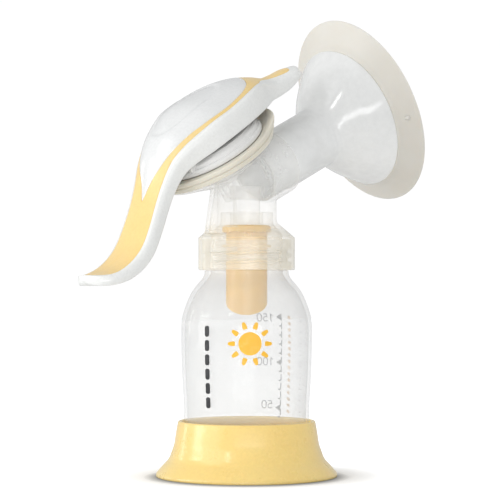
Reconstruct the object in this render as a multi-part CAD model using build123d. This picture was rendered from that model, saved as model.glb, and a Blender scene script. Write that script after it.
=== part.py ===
from build123d import *
import math
import os

# Manual breast pump: a lever handle on a diaphragm housing, an oval breast
# shield, a screw-on bottle and a bottle stand.
# Millimetres.  Origin: centre of the stand's underside.  +Z up.
# The breast shield points to +X, the long end of the handle to -X, and the
# XZ plane is the plane of symmetry of the main body.

os.makedirs("parts", exist_ok=True)

# ---------------------------------------------------------------- shared sizes
GAP = 0.05                      # running clearance between neighbours

LEDGE_Z = 12.0                  # underside of the bottle; the stand's ledge is just below

NECK_R = 18.6                   # outside of the bottle neck
COLLAR_BORE_R = 20.5            # bore of the connector's screw collar
THREAD_PITCH = 4.0
THREAD_TURNS = 1.6
THREAD_Z = 97.6                 # start of both threads
THREAD_ROOT_HALF = 1.0          # half-height of the ridge at its root
THREAD_TIP_HALF = 0.5
THREAD_EMBED = 0.25             # how far the ridge is sunk into its wall

SPOUT_R = 7.6                   # milk spout, which the valve sleeve fits over

SHIELD_TILT = 26.1              # shield axis above horizontal, degrees
SHIELD_AXIS_Z = 136.3           # where the shield axis crosses the Z axis
TUNNEL_R, TUNNEL_BORE_R = 13.4, 12.0
SOCKET_END = 19.5               # distances along the shield axis
TUNNEL_START = 5.0
SOFT_START = 72.6

BOWL_TILT = 35.0                # tilt of the diaphragm plane, degrees
BOWL_X, BOWL_Z = -18.8, 144.5   # centre of the diaphragm plane
BOWL_LIP_R = 27.0               # outside of the dish's edge, gripped by the diaphragm
RING_H = 4.6                    # height of the diaphragm's rim

PIVOT_U, PIVOT_W = -21.0, 14.5  # handle fulcrum in the diaphragm's own frame
STEM_R = 2.0
CROSS_W = 14.5                  # height of the stem's cross-pin at rest
PIN_R = 1.5
CHEEK_T = 2.2                   # thickness of the swivel ears and the frame cheeks
EAR_Y = 12.6                    # outer face of the swivel ears
CHEEK_Y = 10.3                  # outer face of the frame cheeks

# ---------------------------------------------------------------- frames
Y_DIR = Vector(0, 1, 0)
Z_DIR = Vector(0, 0, 1)

_tilt = math.radians(SHIELD_TILT)
SHIELD_AXIS = Vector(math.cos(_tilt), 0, math.sin(_tilt))
SHIELD_UP = Vector(-math.sin(_tilt), 0, math.cos(_tilt))
SHIELD_CENTRE = Vector(0, 0, SHIELD_AXIS_Z)

_tilt = math.radians(BOWL_TILT)
BOWL_U = Vector(math.cos(_tilt), 0, math.sin(_tilt))        # in the diaphragm plane
BOWL_AXIS = Vector(-math.sin(_tilt), 0, math.cos(_tilt))    # outward
BOWL_CENTRE = Vector(BOWL_X, 0, BOWL_Z)
BOWL_PLANE = Plane(origin=BOWL_CENTRE, x_dir=BOWL_U, z_dir=BOWL_AXIS)


def shield_plane(along):
    """Plane square to the shield axis, at a distance along it."""
    return Plane(origin=SHIELD_CENTRE + SHIELD_AXIS * along, x_dir=SHIELD_UP, z_dir=SHIELD_AXIS)


def bowl_point(u, w, y=0.0):
    """Point at u in the diaphragm plane and w outward from it."""
    return BOWL_CENTRE + BOWL_U * u + BOWL_AXIS * w + Vector(0, y, 0)


# ---------------------------------------------------------------- booleans
def whole(result):
    """One shape from a boolean's result, which may be a list of pieces."""
    if isinstance(result, (list, tuple)):
        return result[0] if len(result) == 1 else Compound(list(result))
    return result


def join(shape, *others):
    for other in others:
        shape = whole(shape.fuse(other))
    return shape


def less(shape, *others):
    for other in others:
        shape = whole(shape.cut(other))
    return shape


def shared(shape, other):
    return whole(shape.intersect(other))


# ---------------------------------------------------------------- basic solids
def radial_points(points, plane):
    """(r, h) points placed in the half-plane through a plane's normal and x_dir."""
    side = Plane(origin=plane.origin, x_dir=plane.x_dir, z_dir=-plane.y_dir)
    return [side.from_local_coords(Vector(r, h, 0)) for r, h in points]


def turned(points, plane=Plane.XY, angle=360):
    """Closed (r, h) profile turned about the normal of a plane."""
    wire = Wire.make_polygon(radial_points(points, plane), close=True)
    return Solid.revolve(Face(wire), angle, Axis(plane.origin, plane.z_dir))


def turned_curve(outer, inner):
    """Solid turned about Z from a smooth outer and a smooth inner (r, z) curve."""
    outer = radial_points(outer, Plane.XY)
    inner = radial_points(inner, Plane.XY)
    edges = [Edge.make_spline(outer),
             Edge.make_line(outer[-1], inner[-1]),
             Edge.make_spline(inner[::-1]),
             Edge.make_line(inner[0], outer[0])]
    return Solid.revolve(Face(Wire(edges)), 360, Axis.Z)


def rod(start, direction, radius, length):
    return Solid.make_cylinder(radius, length, Plane(origin=start, z_dir=direction.normalized()))


def upright_rod(z, radius, height):
    return rod(Vector(0, 0, z), Z_DIR, radius, height)


def shield_rod(along, radius, length):
    return rod(SHIELD_CENTRE + SHIELD_AXIS * along, SHIELD_AXIS, radius, length)


def bowl_rod(w, radius, length):
    """Rod on the diaphragm axis, growing outward from w."""
    return rod(bowl_point(0, w), BOWL_AXIS, radius, length)


def cross_rod(u, w, y, radius, length):
    """Rod along +Y from a point in the diaphragm's frame."""
    return rod(bowl_point(u, w, y), Y_DIR, radius, length)


def bowl_box(u, w, y, length, width, height):
    """Box square to the diaphragm's frame: length along u, width along Y."""
    corner = Plane(origin=bowl_point(u, w, y), x_dir=BOWL_U, z_dir=BOWL_AXIS)
    return Solid.make_box(length, width, height, corner)


def slab(plane, side, amount):
    """Square slab standing on a plane."""
    return extrude(plane * Rectangle(side, side), amount=amount).solids()[0]


def shield_ball(radius):
    return Solid.make_sphere(radius, angle1=-90, angle2=90).translate(SHIELD_CENTRE)


def thread(r_root, r_tip, phase):
    """Trapezoid ridge wound round +Z, blunt at both ends."""
    path = Edge.make_helix(THREAD_PITCH, THREAD_PITCH * THREAD_TURNS, r_root)
    sunk = r_root - math.copysign(THREAD_EMBED, r_tip - r_root)
    profile = Wire.make_polygon([Vector(sunk, 0, -THREAD_ROOT_HALF),
                                 Vector(r_tip, 0, -THREAD_TIP_HALF),
                                 Vector(r_tip, 0, THREAD_TIP_HALF),
                                 Vector(sunk, 0, THREAD_ROOT_HALF)], close=True)
    ridge = Solid.sweep(Face(profile), path=path, is_frenet=True)
    return ridge.rotate(Axis.Z, phase).translate(Vector(0, 0, THREAD_Z))


def catmull_rom(keys, rows, i, fraction):
    """Row of values at a fraction of the way from rows[i] to rows[i + 1]."""
    before, after = max(i - 1, 0), min(i + 2, len(rows) - 1)
    step = keys[i + 1] - keys[i]
    f, f2, f3 = fraction, fraction ** 2, fraction ** 3
    out = []
    for y_before, y0, y1, y_after in zip(rows[before], rows[i], rows[i + 1], rows[after]):
        slope0 = (y1 - y_before) / (keys[i + 1] - keys[before])
        slope1 = (y_after - y0) / (keys[after] - keys[i])
        out.append((2 * f3 - 3 * f2 + 1) * y0 + (f3 - 2 * f2 + f) * step * slope0
                   + (3 * f2 - 2 * f3) * y1 + (f3 - f2) * step * slope1)
    return out


def save(name, shape):
    solids = shape.solids()
    body = solids[0] if len(solids) == 1 else Compound(children=list(solids))
    body.label = name
    export_step(body, f"parts/{name}.step")


# ---------------------------------------------------------------- bottle stand
STAND_H = 25.4                  # height of the rim
CATCH_COUNT = 4
CATCH_X, CATCH_Z = 28.95, 15.5  # inner face and underside of a catch
CATCH_SIZE = (4.0, 5.0, 6.0)

# (r, z) curves of the wall, bottom to top
STAND_OUTER = [(41.7, 0.6), (41.2, 1.8), (39.8, 3.5), (38.2, 5.3), (36.4, 7.2), (35.3, 9.0),
               (34.6, 10.9), (33.3, 14.6), (32.7, 18.2), (32.1, 21.9), (31.6, 24.6)]
STAND_INNER = [(39.9, 0.6), (39.3, 1.4), (38.0, 2.9), (36.4, 4.7), (34.7, 6.5), (33.5, 8.5),
               (32.8, 10.5), (31.3, 14.4), (30.7, 18.1), (30.0, 21.9), (29.6, 24.6)]
# closed (r, z) profiles
STAND_FOOT = [(39.5, 0.0), (41.5, 0.0), (41.7, 0.25), (41.7, 0.65), (39.85, 0.65)]
STAND_RIM = [(29.6, 24.58), (31.6, 24.58), (31.35, 25.2), (30.9, STAND_H), (30.2, STAND_H),
             (29.75, 25.2)]
STAND_LEDGE = [(22.0, LEDGE_Z - 2.2), (33.0, LEDGE_Z - 2.2), (32.3, LEDGE_Z - 0.1),
               (22.0, LEDGE_Z - 0.1)]
CATCH_LIMIT = [(28.0, 14), (32.0, 14), (31.6, 17.0), (31.0, 21.0), (30.9, 23.0), (28.0, 23)]


def bottle_stand():
    stand = turned_curve(STAND_OUTER, STAND_INNER)
    stand = join(stand, turned(STAND_FOOT), turned(STAND_RIM), turned(STAND_LEDGE))
    # catches that grip the bottle above the ledge
    for k in range(CATCH_COUNT):
        block = Solid.make_box(*CATCH_SIZE).translate(Vector(CATCH_X, -CATCH_SIZE[1] / 2, CATCH_Z))
        catch = shared(block, turned(CATCH_LIMIT))
        stand = join(stand, catch.rotate(Axis.Z, 45 + 360 / CATCH_COUNT * k))
    return stand


# ---------------------------------------------------------------- bottle
NECK_BORE_R = 16.6
NECK_TOP_Z = 108.0
NECK_CREST_R = 20.2             # crest of the bottle's thread

# (r, z) curves of the wall, bottom to top
BOTTLE_OUTER = [(27.2, 12.6), (28.2, 14.6), (28.55, 18.0), (28.7, 23.0), (28.8, 27.3),
                (29.0, 34.7), (29.5, 43.9), (29.85, 53.1), (30.05, 62.3), (30.0, 69.7),
                (29.5, 73.3), (28.4, 77.0), (27.0, 80.7), (25.2, 84.4), (23.3, 87.1),
                (20.9, 89.9), (19.9, 91.3), (19.3, 92.7)]
BOTTLE_INNER = [(25.6, 14.2), (26.6, 15.8), (26.9, 18.4), (27.1, 23.0), (27.2, 27.3),
                (27.4, 34.7), (27.9, 43.9), (28.25, 53.1), (28.45, 62.3), (28.4, 69.4),
                (27.9, 72.6), (26.9, 76.1), (25.5, 79.7), (23.8, 83.2), (21.9, 85.9),
                (19.3, 88.9), (17.7, 91.0), (NECK_BORE_R, 92.7)]
# closed (r, z) profiles
BOTTLE_FLOOR = [(0, 13.4), (18.0, 12.5), (22.0, LEDGE_Z), (26.2, LEDGE_Z), (27.25, 12.62),
                (25.6, 14.22), (24.0, 13.9), (18.0, 14.1), (0, 15.0)]
BOTTLE_NECK = [(NECK_BORE_R, 92.65), (19.3, 92.65), (19.3, 94.0), (NECK_R, 94.3),
               (NECK_R, NECK_TOP_Z - 0.5), (NECK_R - 0.5, NECK_TOP_Z),
               (NECK_BORE_R + 0.3, NECK_TOP_Z), (NECK_BORE_R, NECK_TOP_Z - 0.3)]


def milk_bottle():
    bottle = turned_curve(BOTTLE_OUTER, BOTTLE_INNER)
    bottle = join(bottle, turned(BOTTLE_FLOOR), turned(BOTTLE_NECK))
    return join(bottle, thread(NECK_R, NECK_CREST_R, phase=0))


# ---------------------------------------------------------------- connector body
COLLAR_R = 22.2
COLLAR_Z0, COLLAR_Z1 = 94.5, 109.3
COLLAR_CREST_R = 18.9           # crest of the collar's inner thread
THROAT_R = 13.8                 # neck of the connector above the collar
THROAT_BORE_R = THROAT_R - 1.7
SOCKET_R = 15.5
SPOUT_BORE_R = 6.2
SPOUT_Z, SPOUT_H = 97.0, 36.0
LEG_FOOT, LEG_TOP = Vector(-13.2, 0, 110.0), Vector(-9.6, 0, 139.0)
LEG_R0, LEG_R1 = 9.3, 8.2       # radii of the leg at its foot and top
LEG_HOLLOW_FOOT = Vector(-13.1, 0, 110.2)
LEG_HOLLOW_R0, LEG_HOLLOW_R1, LEG_HOLLOW_LENGTH = 7.6, 6.6, 24.0

# closed (r, z) profiles about Z
COLLAR_AND_THROAT = [(0, 108.4), (COLLAR_BORE_R + 0.2, 108.4), (COLLAR_BORE_R, 108.3),
                     (COLLAR_BORE_R, COLLAR_Z0), (COLLAR_R - 0.4, COLLAR_Z0),
                     (COLLAR_R, COLLAR_Z0 + 0.4), (COLLAR_R, COLLAR_Z1),
                     (THROAT_R + 0.5, 116.1), (THROAT_R, 117.6), (THROAT_R, SHIELD_AXIS_Z),
                     (0, SHIELD_AXIS_Z)]
NECK_HOLLOW = [(0, 108.0), (16.3, 108.0), (16.3, 111.0), (THROAT_R - 1.4, 115.4),
               (THROAT_BORE_R, 117.0), (THROAT_BORE_R, 120.9), (0, 120.9)]
# closed (r, w) profiles about the diaphragm axis
DISH = [(0, -10.5), (8.5, -10.5), (15.5, -7.0), (26.6, -1.9), (BOWL_LIP_R, -1.5),
        (BOWL_LIP_R, 1.0), (25.4, 1.4), (24.6, 0.6), (0, 0.6)]
DISH_HOLLOW = [(0, -8.8), (8.0, -8.8), (14.8, -5.4), (24.4, -0.9), (24.4, 3.0), (0, 3.0)]


def connector_body():
    leg_line = LEG_TOP - LEG_FOOT
    leg_dir = leg_line.normalized()
    body = turned(COLLAR_AND_THROAT)
    body = join(body, shield_ball(THROAT_R + 0.02))
    body = join(body, shield_rod(0, SOCKET_R, SOCKET_END))
    body = join(body, Solid.make_cone(LEG_R0, LEG_R1, leg_line.length,
                                      Plane(origin=LEG_FOOT, z_dir=leg_dir)))
    body = join(body, turned(DISH, BOWL_PLANE))

    # hollows: neck, shield seat, dish, drain hole of the dish, leg
    body = less(body, turned(NECK_HOLLOW))
    body = less(body, shield_rod(0, TUNNEL_BORE_R, SOCKET_END + 1))
    body = less(body, shield_rod(TUNNEL_START - GAP, TUNNEL_R + GAP, SOCKET_END + 1))
    body = less(body, shield_ball(TUNNEL_BORE_R))
    body = less(body, turned(DISH_HOLLOW, BOWL_PLANE))
    body = less(body, rod(bowl_point(0, -6.0), -BOWL_AXIS, 5.0, 14.0))
    leg_hollow = Solid.make_cone(LEG_HOLLOW_R0, LEG_HOLLOW_R1, LEG_HOLLOW_LENGTH,
                                 Plane(origin=LEG_HOLLOW_FOOT, z_dir=leg_dir))
    body = less(body, less(leg_hollow, upright_rod(100, THROAT_R, 60)))

    # milk spout down through the collar
    body = join(body, upright_rod(SPOUT_Z, SPOUT_R, SPOUT_H))
    body = less(body, upright_rod(SPOUT_Z - 1, SPOUT_BORE_R, SPOUT_H + 2))
    return join(body, thread(COLLAR_BORE_R, COLLAR_CREST_R, phase=180))


# ---------------------------------------------------------------- valve
VALVE_TURN = -131.0             # how far the slanted valve seat is turned about +Z
SLEEVE_R, SLEEVE_BORE_R = 9.5, 7.4
SLEEVE_Z, SLEEVE_H = 74.0, 41.0
SPOUT_SEAT_Z = 96.5             # where the bore widens to take the spout
SEAT_Z, SEAT_SLOPE = 79.8, 0.62
SEAT_R, SEAT_T = 9.0, 1.6
SEAT_HOLE_R, SEAT_HOLE_X, SEAT_HOLE_Y = 1.7, 1.2, 3.6
PEG_R, PEG_X, PEG_LENGTH = 1.1, -8.2, 2.6
PEG_CLEARANCE = 0.65
FLAP_T = 0.8
FLAP_RADII = (10.2, 8.4)        # along and across the slope

SEAT_PLANE = Plane(origin=Vector(0, 0, SEAT_Z), x_dir=Vector(1, 0, -SEAT_SLOPE).normalized(),
                   z_dir=Vector(SEAT_SLOPE, 0, 1).normalized())
SEAT_NORMAL = SEAT_PLANE.z_dir
PEG_POINT = SEAT_PLANE.from_local_coords(Vector(PEG_X, 0, 0))

# closed (r, z) profiles of the flanges round the sleeve
LOWER_FLANGE = [(9.4, 104.6), (11.2, 104.9), (11.2, 105.9), (9.4, 106.2)]
UPPER_FLANGE = [(9.4, 111.4), (11.2, 111.9), (11.2, 114.2), (10.4, 115.0), (9.4, 115.0)]


def valve_head():
    tube = upright_rod(SLEEVE_Z, SLEEVE_R, SLEEVE_H)
    tube = less(tube, upright_rod(SPOUT_SEAT_Z, SPOUT_R + GAP, 20))
    tube = less(tube, upright_rod(70.0, SLEEVE_BORE_R, 30))
    tube = less(tube, slab(SEAT_PLANE, 60, -30))
    seat = shared(upright_rod(70.0, SEAT_R, 20), slab(SEAT_PLANE, 60, SEAT_T))
    valve = join(tube, seat)
    for y in (-SEAT_HOLE_Y, SEAT_HOLE_Y):
        start = SEAT_PLANE.from_local_coords(Vector(SEAT_HOLE_X, y, -5))
        valve = less(valve, rod(start, SEAT_NORMAL, SEAT_HOLE_R, 10))
    # peg that the membrane hangs from, at the upper end of the slanted seat
    valve = join(valve, rod(PEG_POINT + SEAT_NORMAL * 0.8, -SEAT_NORMAL, PEG_R, PEG_LENGTH))
    valve = join(valve, turned(LOWER_FLANGE), turned(UPPER_FLANGE))
    return valve.rotate(Axis.Z, VALVE_TURN)


def valve_membrane():
    underside = Plane(origin=SEAT_PLANE.origin - SEAT_NORMAL * (FLAP_T + GAP),
                      x_dir=SEAT_PLANE.x_dir, z_dir=SEAT_NORMAL)
    flap = extrude(underside * Ellipse(*FLAP_RADII), amount=FLAP_T).solids()[0]
    flap = less(flap, rod(PEG_POINT + SEAT_NORMAL * 2, -SEAT_NORMAL, PEG_R + PEG_CLEARANCE, 6))
    return flap.rotate(Axis.Z, VALVE_TURN)


# ---------------------------------------------------------------- breast shield
TUNNEL_BODY_R = 14.2            # tunnel outside the socket
TUNNEL_BODY_START = SOCKET_END + 0.5
TUNNEL_END = 48.0
TUNNEL_BORE_END = 47.4
RIM_END = 81.5
RIM_START = SOFT_START + GAP
FLARE_SPACING = 2.0             # approximate distance between loft sections

# ovals: (distance along the shield axis, half-height, half-width)
FLARE_OUTER = [(46.6, 14.6, 14.55), (48.8, 14.75, 14.65), (50.8, 15.6, 15.3),
               (53.0, 17.4, 16.9), (56.5, 20.9, 19.8), (62.0, 26.4, 24.0),
               (68.5, 31.8, 27.8), (74.2, 36.2, 30.8)]
FLARE_INNER = [(46.4, 11.2, 11.15), (48.8, 12.7, 12.5), (50.8, 13.7, 13.4),
               (53.0, 15.6, 15.1), (56.5, 19.1, 18.0), (62.0, 24.6, 22.2),
               (68.5, 30.1, 26.0), (74.2, 34.5, 29.1), (76.0, 36.0, 30.2)]
RIM_OUTER = [(RIM_START, 34.9, 30.0), (74.4, 36.5, 31.1), (77.2, 40.2, 33.9),
             (79.8, 44.4, 36.8), (RIM_END - 0.6, 46.7, 38.4), (RIM_END, 46.8, 38.5)]
RIM_INNER = [(RIM_START - 0.02, 33.1, 28.2), (74.6, 34.9, 29.6), (77.6, 38.8, 32.4),
             (80.1, 42.8, 35.3), (RIM_END + 0.1, 45.1, 36.8)]
# closed (r, distance along the axis) profile
TUNNEL = [(0, TUNNEL_START), (TUNNEL_R, TUNNEL_START), (TUNNEL_R, TUNNEL_BODY_START),
          (TUNNEL_BODY_R, TUNNEL_BODY_START), (TUNNEL_BODY_R, TUNNEL_END), (0, TUNNEL_END)]


def oval_loft(rows, ruled=False):
    ovals = [Wire.make_ellipse(height, width, shield_plane(s)) for s, height, width in rows]
    return Solid.make_loft(ovals, ruled)


def resampled(rows):
    """Closer-spaced rows on a smooth curve through the given ones."""
    keys = [row[0] for row in rows]
    out = []
    for i in range(len(rows) - 1):
        count = round((keys[i + 1] - keys[i]) / FLARE_SPACING)
        out += [catmull_rom(keys, rows, i, k / count) for k in range(count)]
    return out + [rows[-1]]


def breast_shield_funnel():
    outer = oval_loft(resampled(FLARE_OUTER), ruled=True)
    inner = oval_loft(resampled(FLARE_INNER), ruled=True)
    shield = less(join(turned(TUNNEL, shield_plane(0)), outer), inner)
    bore_start = TUNNEL_START - 1
    shield = less(shield, shield_rod(bore_start, TUNNEL_BORE_R - 0.02,
                                     TUNNEL_BORE_END - bore_start))
    # the flare stops at the soft rim's seat
    return less(shield, slab(shield_plane(SOFT_START), 120, 20))


def shield_soft_rim():
    return less(oval_loft(RIM_OUTER), oval_loft(RIM_INNER))


# ---------------------------------------------------------------- diaphragm and stem
RING_R = 29.4                   # outside of the diaphragm's rim
RING_BORE_R = BOWL_LIP_R + GAP
STEM_HOLE_R = STEM_R + GAP
LIP_ANGLE = 108

# closed (r, w) profiles about the diaphragm axis
DIAPHRAGM = [(RING_BORE_R, 0.0), (RING_R - 0.5, 0.0), (RING_R, 0.5), (RING_R, 1.7),
             (RING_R - 0.45, 2.1), (RING_R - 0.45, 2.6), (RING_R, 3.0), (RING_R - 0.2, 4.2),
             (RING_R - 0.7, RING_H), (25.6, RING_H), (24.2, 3.6), (22.6, 1.2), (20.6, 0.7),
             (19.0, 2.4), (17.0, 3.4), (15.0, 2.4), (13.4, 0.9), (11.6, 0.9), (9.6, 1.6),
             (6.0, 2.8), (STEM_HOLE_R, 2.8), (STEM_HOLE_R, -0.6), (6.2, -0.6), (7.0, 1.0),
             (9.4, 0.4), (11.4, -0.3), (13.8, -0.3), (15.4, 1.2), (17.0, 2.1), (18.4, 1.2),
             (20.2, -0.5), (23.0, -0.1), (24.5, 1.6), (25.3, 2.0), (RING_BORE_R, 1.2)]
RAISED_LIP = [(27.4, 0.4), (29.2, 0.4), (31.2, 2.6), (32.9, 5.2), (33.6, 7.0), (33.2, 7.7),
              (32.4, 7.5), (31.4, 5.6), (29.8, 3.8), (27.4, 3.4)]

FOOT_R, FOOT_W, FOOT_T = 5.5, -2.6, 1.9         # foot under the diaphragm
HEAD_R, HEAD_BELOW, HEAD_H = 3.2, 3.2, 6.6      # thick part round the cross-pin
STEM_ABOVE_PIN = 3.4
GROOVE_R, GROOVE_W0, GROOVE_W1 = 1.55, 5.6, 6.8
O_RING_SECTION_R = 0.53
CROSS_PIN_Y = 11.4              # half-length of the cross-pin


def diaphragm():
    # the raised lip is centred on +u, away from the long end of the handle
    lip = turned(RAISED_LIP, BOWL_PLANE, LIP_ANGLE)
    lip = lip.rotate(Axis(BOWL_CENTRE, BOWL_AXIS), -LIP_ANGLE / 2)
    return join(turned(DIAPHRAGM, BOWL_PLANE), lip)


def pull_stem():
    stem = bowl_rod(FOOT_W, STEM_R, CROSS_W - FOOT_W + STEM_ABOVE_PIN)
    stem = join(stem, bowl_rod(FOOT_W, FOOT_R, FOOT_T))
    stem = join(stem, bowl_rod(CROSS_W - HEAD_BELOW, HEAD_R, HEAD_H))
    groove = [(GROOVE_R, GROOVE_W0), (3.0, GROOVE_W0), (3.0, GROOVE_W1), (GROOVE_R, GROOVE_W1)]
    stem = less(stem, turned(groove, BOWL_PLANE))
    return less(stem, cross_rod(0, CROSS_W, -8, PIN_R + 0.02, 16))


def stem_o_ring():
    centre = bowl_point(0, (GROOVE_W0 + GROOVE_W1) / 2)
    return Solid.make_torus(GROOVE_R + 0.57, O_RING_SECTION_R,
                            Plane(origin=centre, z_dir=BOWL_AXIS))


# ---------------------------------------------------------------- swivel carrier
EAR_U, EAR_W = PIVOT_U - 2.6, 7.0
EAR_LENGTH, EAR_H = 8.2, 9.7
# closed (r, w) profile
SWIVEL = [(7.2, RING_H + GAP), (25.4, RING_H + GAP), (26.0, 5.2), (26.0, 6.2), (24.4, 6.6),
          (24.2, 7.4), (22.4, 7.8), (22.0, 8.6), (19.0, 9.2), (8.2, 9.2), (7.2, 8.6)]


def swivel_carrier():
    swivel = turned(SWIVEL, BOWL_PLANE)
    for y in (-EAR_Y, EAR_Y - CHEEK_T):
        ear = bowl_box(EAR_U, EAR_W, y, EAR_LENGTH, CHEEK_T, EAR_H)
        ear = less(ear, cross_rod(PIVOT_U, PIVOT_W, y - 1, PIN_R + 0.02, 5))
        swivel = join(swivel, ear)
    return swivel


# ---------------------------------------------------------------- handle sections
def on_bowl(u, w, half_width, depth, crown):
    """Station given in the diaphragm's frame."""
    p = bowl_point(u, w)
    return (p.X, p.Z, BOWL_TILT, half_width, depth, crown)


# Cross-sections along the handle, from the finger end to the thumb end:
# x, z of the line where the crown meets the side wall; tilt of the section
# from +Z toward -X in degrees; half-width; depth of the side wall; crown height.
STATIONS = [
    (-92.6, 90.9, 9, 10.5, 3.7, 0.8), (-88.0, 91.3, 12, 10.5, 4.2, 0.8),
    (-83.0, 92.5, 20, 10.6, 4.8, 0.8), (-77.5, 95.0, 32, 10.8, 5.6, 0.9),
    (-72.1, 99.2, 45, 10.9, 6.2, 1.0), (-67.7, 104.7, 57, 10.9, 6.4, 1.0),
    (-63.7, 113.2, 67, 10.6, 6.5, 1.0), (-60.4, 122.0, 70.5, 10.3, 6.7, 1.2),
    (-57.0, 131.5, 69, 11.0, 7.0, 2.0), (-53.0, 141.0, 60, 13.2, 8.0, 4.5),
    (-48.2, 147.4, 50, 16.2, 8.8, 7.4), (-43.2, 152.3, 43, 18.8, 9.4, 9.4),
    on_bowl(-6.0, 21.4, 21.6, 9.8, 10.8), on_bowl(5.4, 21.3, 22.3, 9.8, 10.0),
    on_bowl(18.8, 21.3, 20.3, 10.6, 7.5), on_bowl(28.6, 20.1, 16.2, 10.6, 5.6),
    on_bowl(36.5, 17.3, 11.3, 9.2, 4.3), on_bowl(44.8, 13.3, 8.4, 7.2, 2.8),
    on_bowl(52.0, 11.6, 7.8, 6.1, 2.4), on_bowl(59.0, 10.6, 7.8, 4.3, 2.1),
    on_bowl(65.2, 9.2, 7.8, 2.8, 1.6)]
FINGER_END_R = 10.5             # plan rounding of the ends
THUMB_END_R = 7.8

WALL, ROOF = 1.8, 2.6           # shell thickness at the sides and under the crown
SKIN_INSET, SKIN_T = 1.2, 1.2   # margin and depth of the pocket let into the crown

# distance of each station along the handle
ALONG = [0.0]
for here, after in zip(STATIONS, STATIONS[1:]):
    ALONG.append(ALONG[-1] + math.hypot(after[0] - here[0], after[1] - here[1]))
HANDLE_END = ALONG[-1]


def stops(first, middle, from_end):
    """Loft distances: near the finger end, at stations, then back from the thumb end."""
    return first + middle + [HANDLE_END - distance for distance in from_end]


OUTER_STOPS = stops([0.25, 1.0, 2.4, 4.6, 7.4], ALONG[2:-2], [8.2, 5.6, 3.4, 1.7, 0.7, 0.2])
VOID_STOPS = stops([4.2, 6.4, 9.0], ALONG[2:-3], [10.0, 6.8])
SKIN_STOPS = stops([2.2, 3.2, 5.0, 7.8], ALONG[2:-2], [7.8, 5.4, 3.6, 2.4])


def section(t):
    """Plane, half-width, depth and crown at distance t along the handle."""
    i = max(j for j in range(len(ALONG) - 1) if ALONG[j] <= t)
    fraction = (t - ALONG[i]) / (ALONG[i + 1] - ALONG[i])
    x, z, tilt, half_width, depth, crown = catmull_rom(ALONG, STATIONS, i, fraction)
    angle = math.radians(tilt)
    plane = Plane(origin=Vector(x, 0, z), x_dir=Y_DIR,
                  z_dir=Vector(math.cos(angle), 0, math.sin(angle)))
    return plane, half_width, depth, crown


def end_scale(t, inset):
    """Share of the half-width left by the rounded ends, for an inset outline."""
    scale = 1.0
    for distance, radius in ((t, FINGER_END_R), (HANDLE_END - t, THUMB_END_R)):
        d, r = distance - inset, radius - inset
        if d < r:
            scale = min(scale, math.sqrt(r * r - (r - d) ** 2) / r)
    return scale


def arc_height(y, half_width, crown, drop=0.0):
    """Height at y of the crown's arc, or of one concentric with it and lower by drop."""
    radius = (half_width ** 2 + crown ** 2) / (2 * crown)
    return crown - radius + math.sqrt((radius - drop) ** 2 - y * y)


def section_wire(plane, *runs):
    """Wire of lines (two points) and arcs (three points) in a section plane."""
    edges = []
    for run in runs:
        points = [plane.from_local_coords(Vector(y, n, 0)) for y, n in run]
        make = Edge.make_line if len(points) == 2 else Edge.make_three_point_arc
        edges.append(make(*points))
    return Wire(edges)


def outer_wire(t):
    plane, half, depth, crown = section(t)
    scale = end_scale(t, 0.0)
    half *= scale
    if scale < 1:
        crown = min(crown, half * 0.6)
    shoulder = max(half - 1.0, half * 0.6)
    top = arc_height(shoulder, half, crown)
    side = half + min(1.0, 0.35 + scale)
    bulge = side - 0.35 * (side - shoulder), top - 0.32 * (top + 2.0)
    return section_wire(
        plane,
        [(-side + 0.5, -depth), (side - 0.5, -depth)],
        [(side - 0.5, -depth), (side, -2.0)],
        [(side, -2.0), bulge, (shoulder, top)],
        [(shoulder, top), (0, crown), (-shoulder, top)],
        [(-shoulder, top), (-bulge[0], bulge[1]), (-side, -2.0)],
        [(-side, -2.0), (-side + 0.5, -depth)])


def void_wire(t, wall, drop, below):
    """Section of the hollow, reaching below the side walls."""
    plane, half, depth, crown = section(t)
    y = (half + 0.5 - wall) * end_scale(t, wall + 0.6)
    top = min(arc_height(min(y, half - 0.5), half, crown, drop), crown - drop - 0.05)
    bottom = -depth - below
    return section_wire(
        plane,
        [(-y, bottom), (y, bottom)],
        [(y, bottom), (y, top)],
        [(y, top), (0, crown - drop), (-y, top)],
        [(-y, top), (-y, bottom)])


def skin_wire(t, inset, drop):
    """Section of the space above an arc sunk into the crown."""
    plane, half, _, crown = section(t)
    y = (half - inset) * end_scale(t, inset + 0.6)
    low = min(arc_height(y, half, crown, drop), crown - drop - 0.03)
    high = crown + 3
    return section_wire(
        plane,
        [(-y, low), (0, crown - drop), (y, low)],
        [(y, low), (y, high)],
        [(y, high), (-y, high)],
        [(-y, high), (-y, low)])


def cover_wire(t, y):
    plane, _, _, crown = section(t)
    corners = [(-y, -4), (y, -4), (y, crown + 5), (-y, crown + 5)]
    return Wire.make_polygon([plane.from_local_coords(Vector(*c, 0)) for c in corners], close=True)


def void_loft(clearance, below):
    return Solid.make_loft([void_wire(t, WALL + clearance, ROOF + clearance, below)
                            for t in VOID_STOPS])


def skin_loft(clearance):
    return Solid.make_loft([skin_wire(t, SKIN_INSET + clearance, SKIN_T - clearance)
                            for t in SKIN_STOPS])


# ---------------------------------------------------------------- handle pieces
# outline of the smooth cover let into the grip: distance along, half-width
COVER = [(50.4, 0.35), (53.5, 1.3), (57.0, 2.6), (60.6, 4.3), (64.2, 6.6), (67.6, 8.5),
         (71.6, 10.5), (75.5, 12.4), (80.0, 14.4), (84.8, 16.3), (89.9, 18.3), (95.5, 19.6),
         (102.6, 20.0), (109.3, 19.4), (116.4, 17.9), (122.8, 14.8), (126.6, 11.2),
         (129.4, 6.8), (130.6, 2.4)]
COVER_START_GAP, COVER_END_GAP = 0.08, 0.06
SLOT_LENGTH, SLOT_HALF_H = 7.0, PIN_R + 0.4
BRIDGE_W, BRIDGE_Y = 20.5, 9.0


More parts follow.
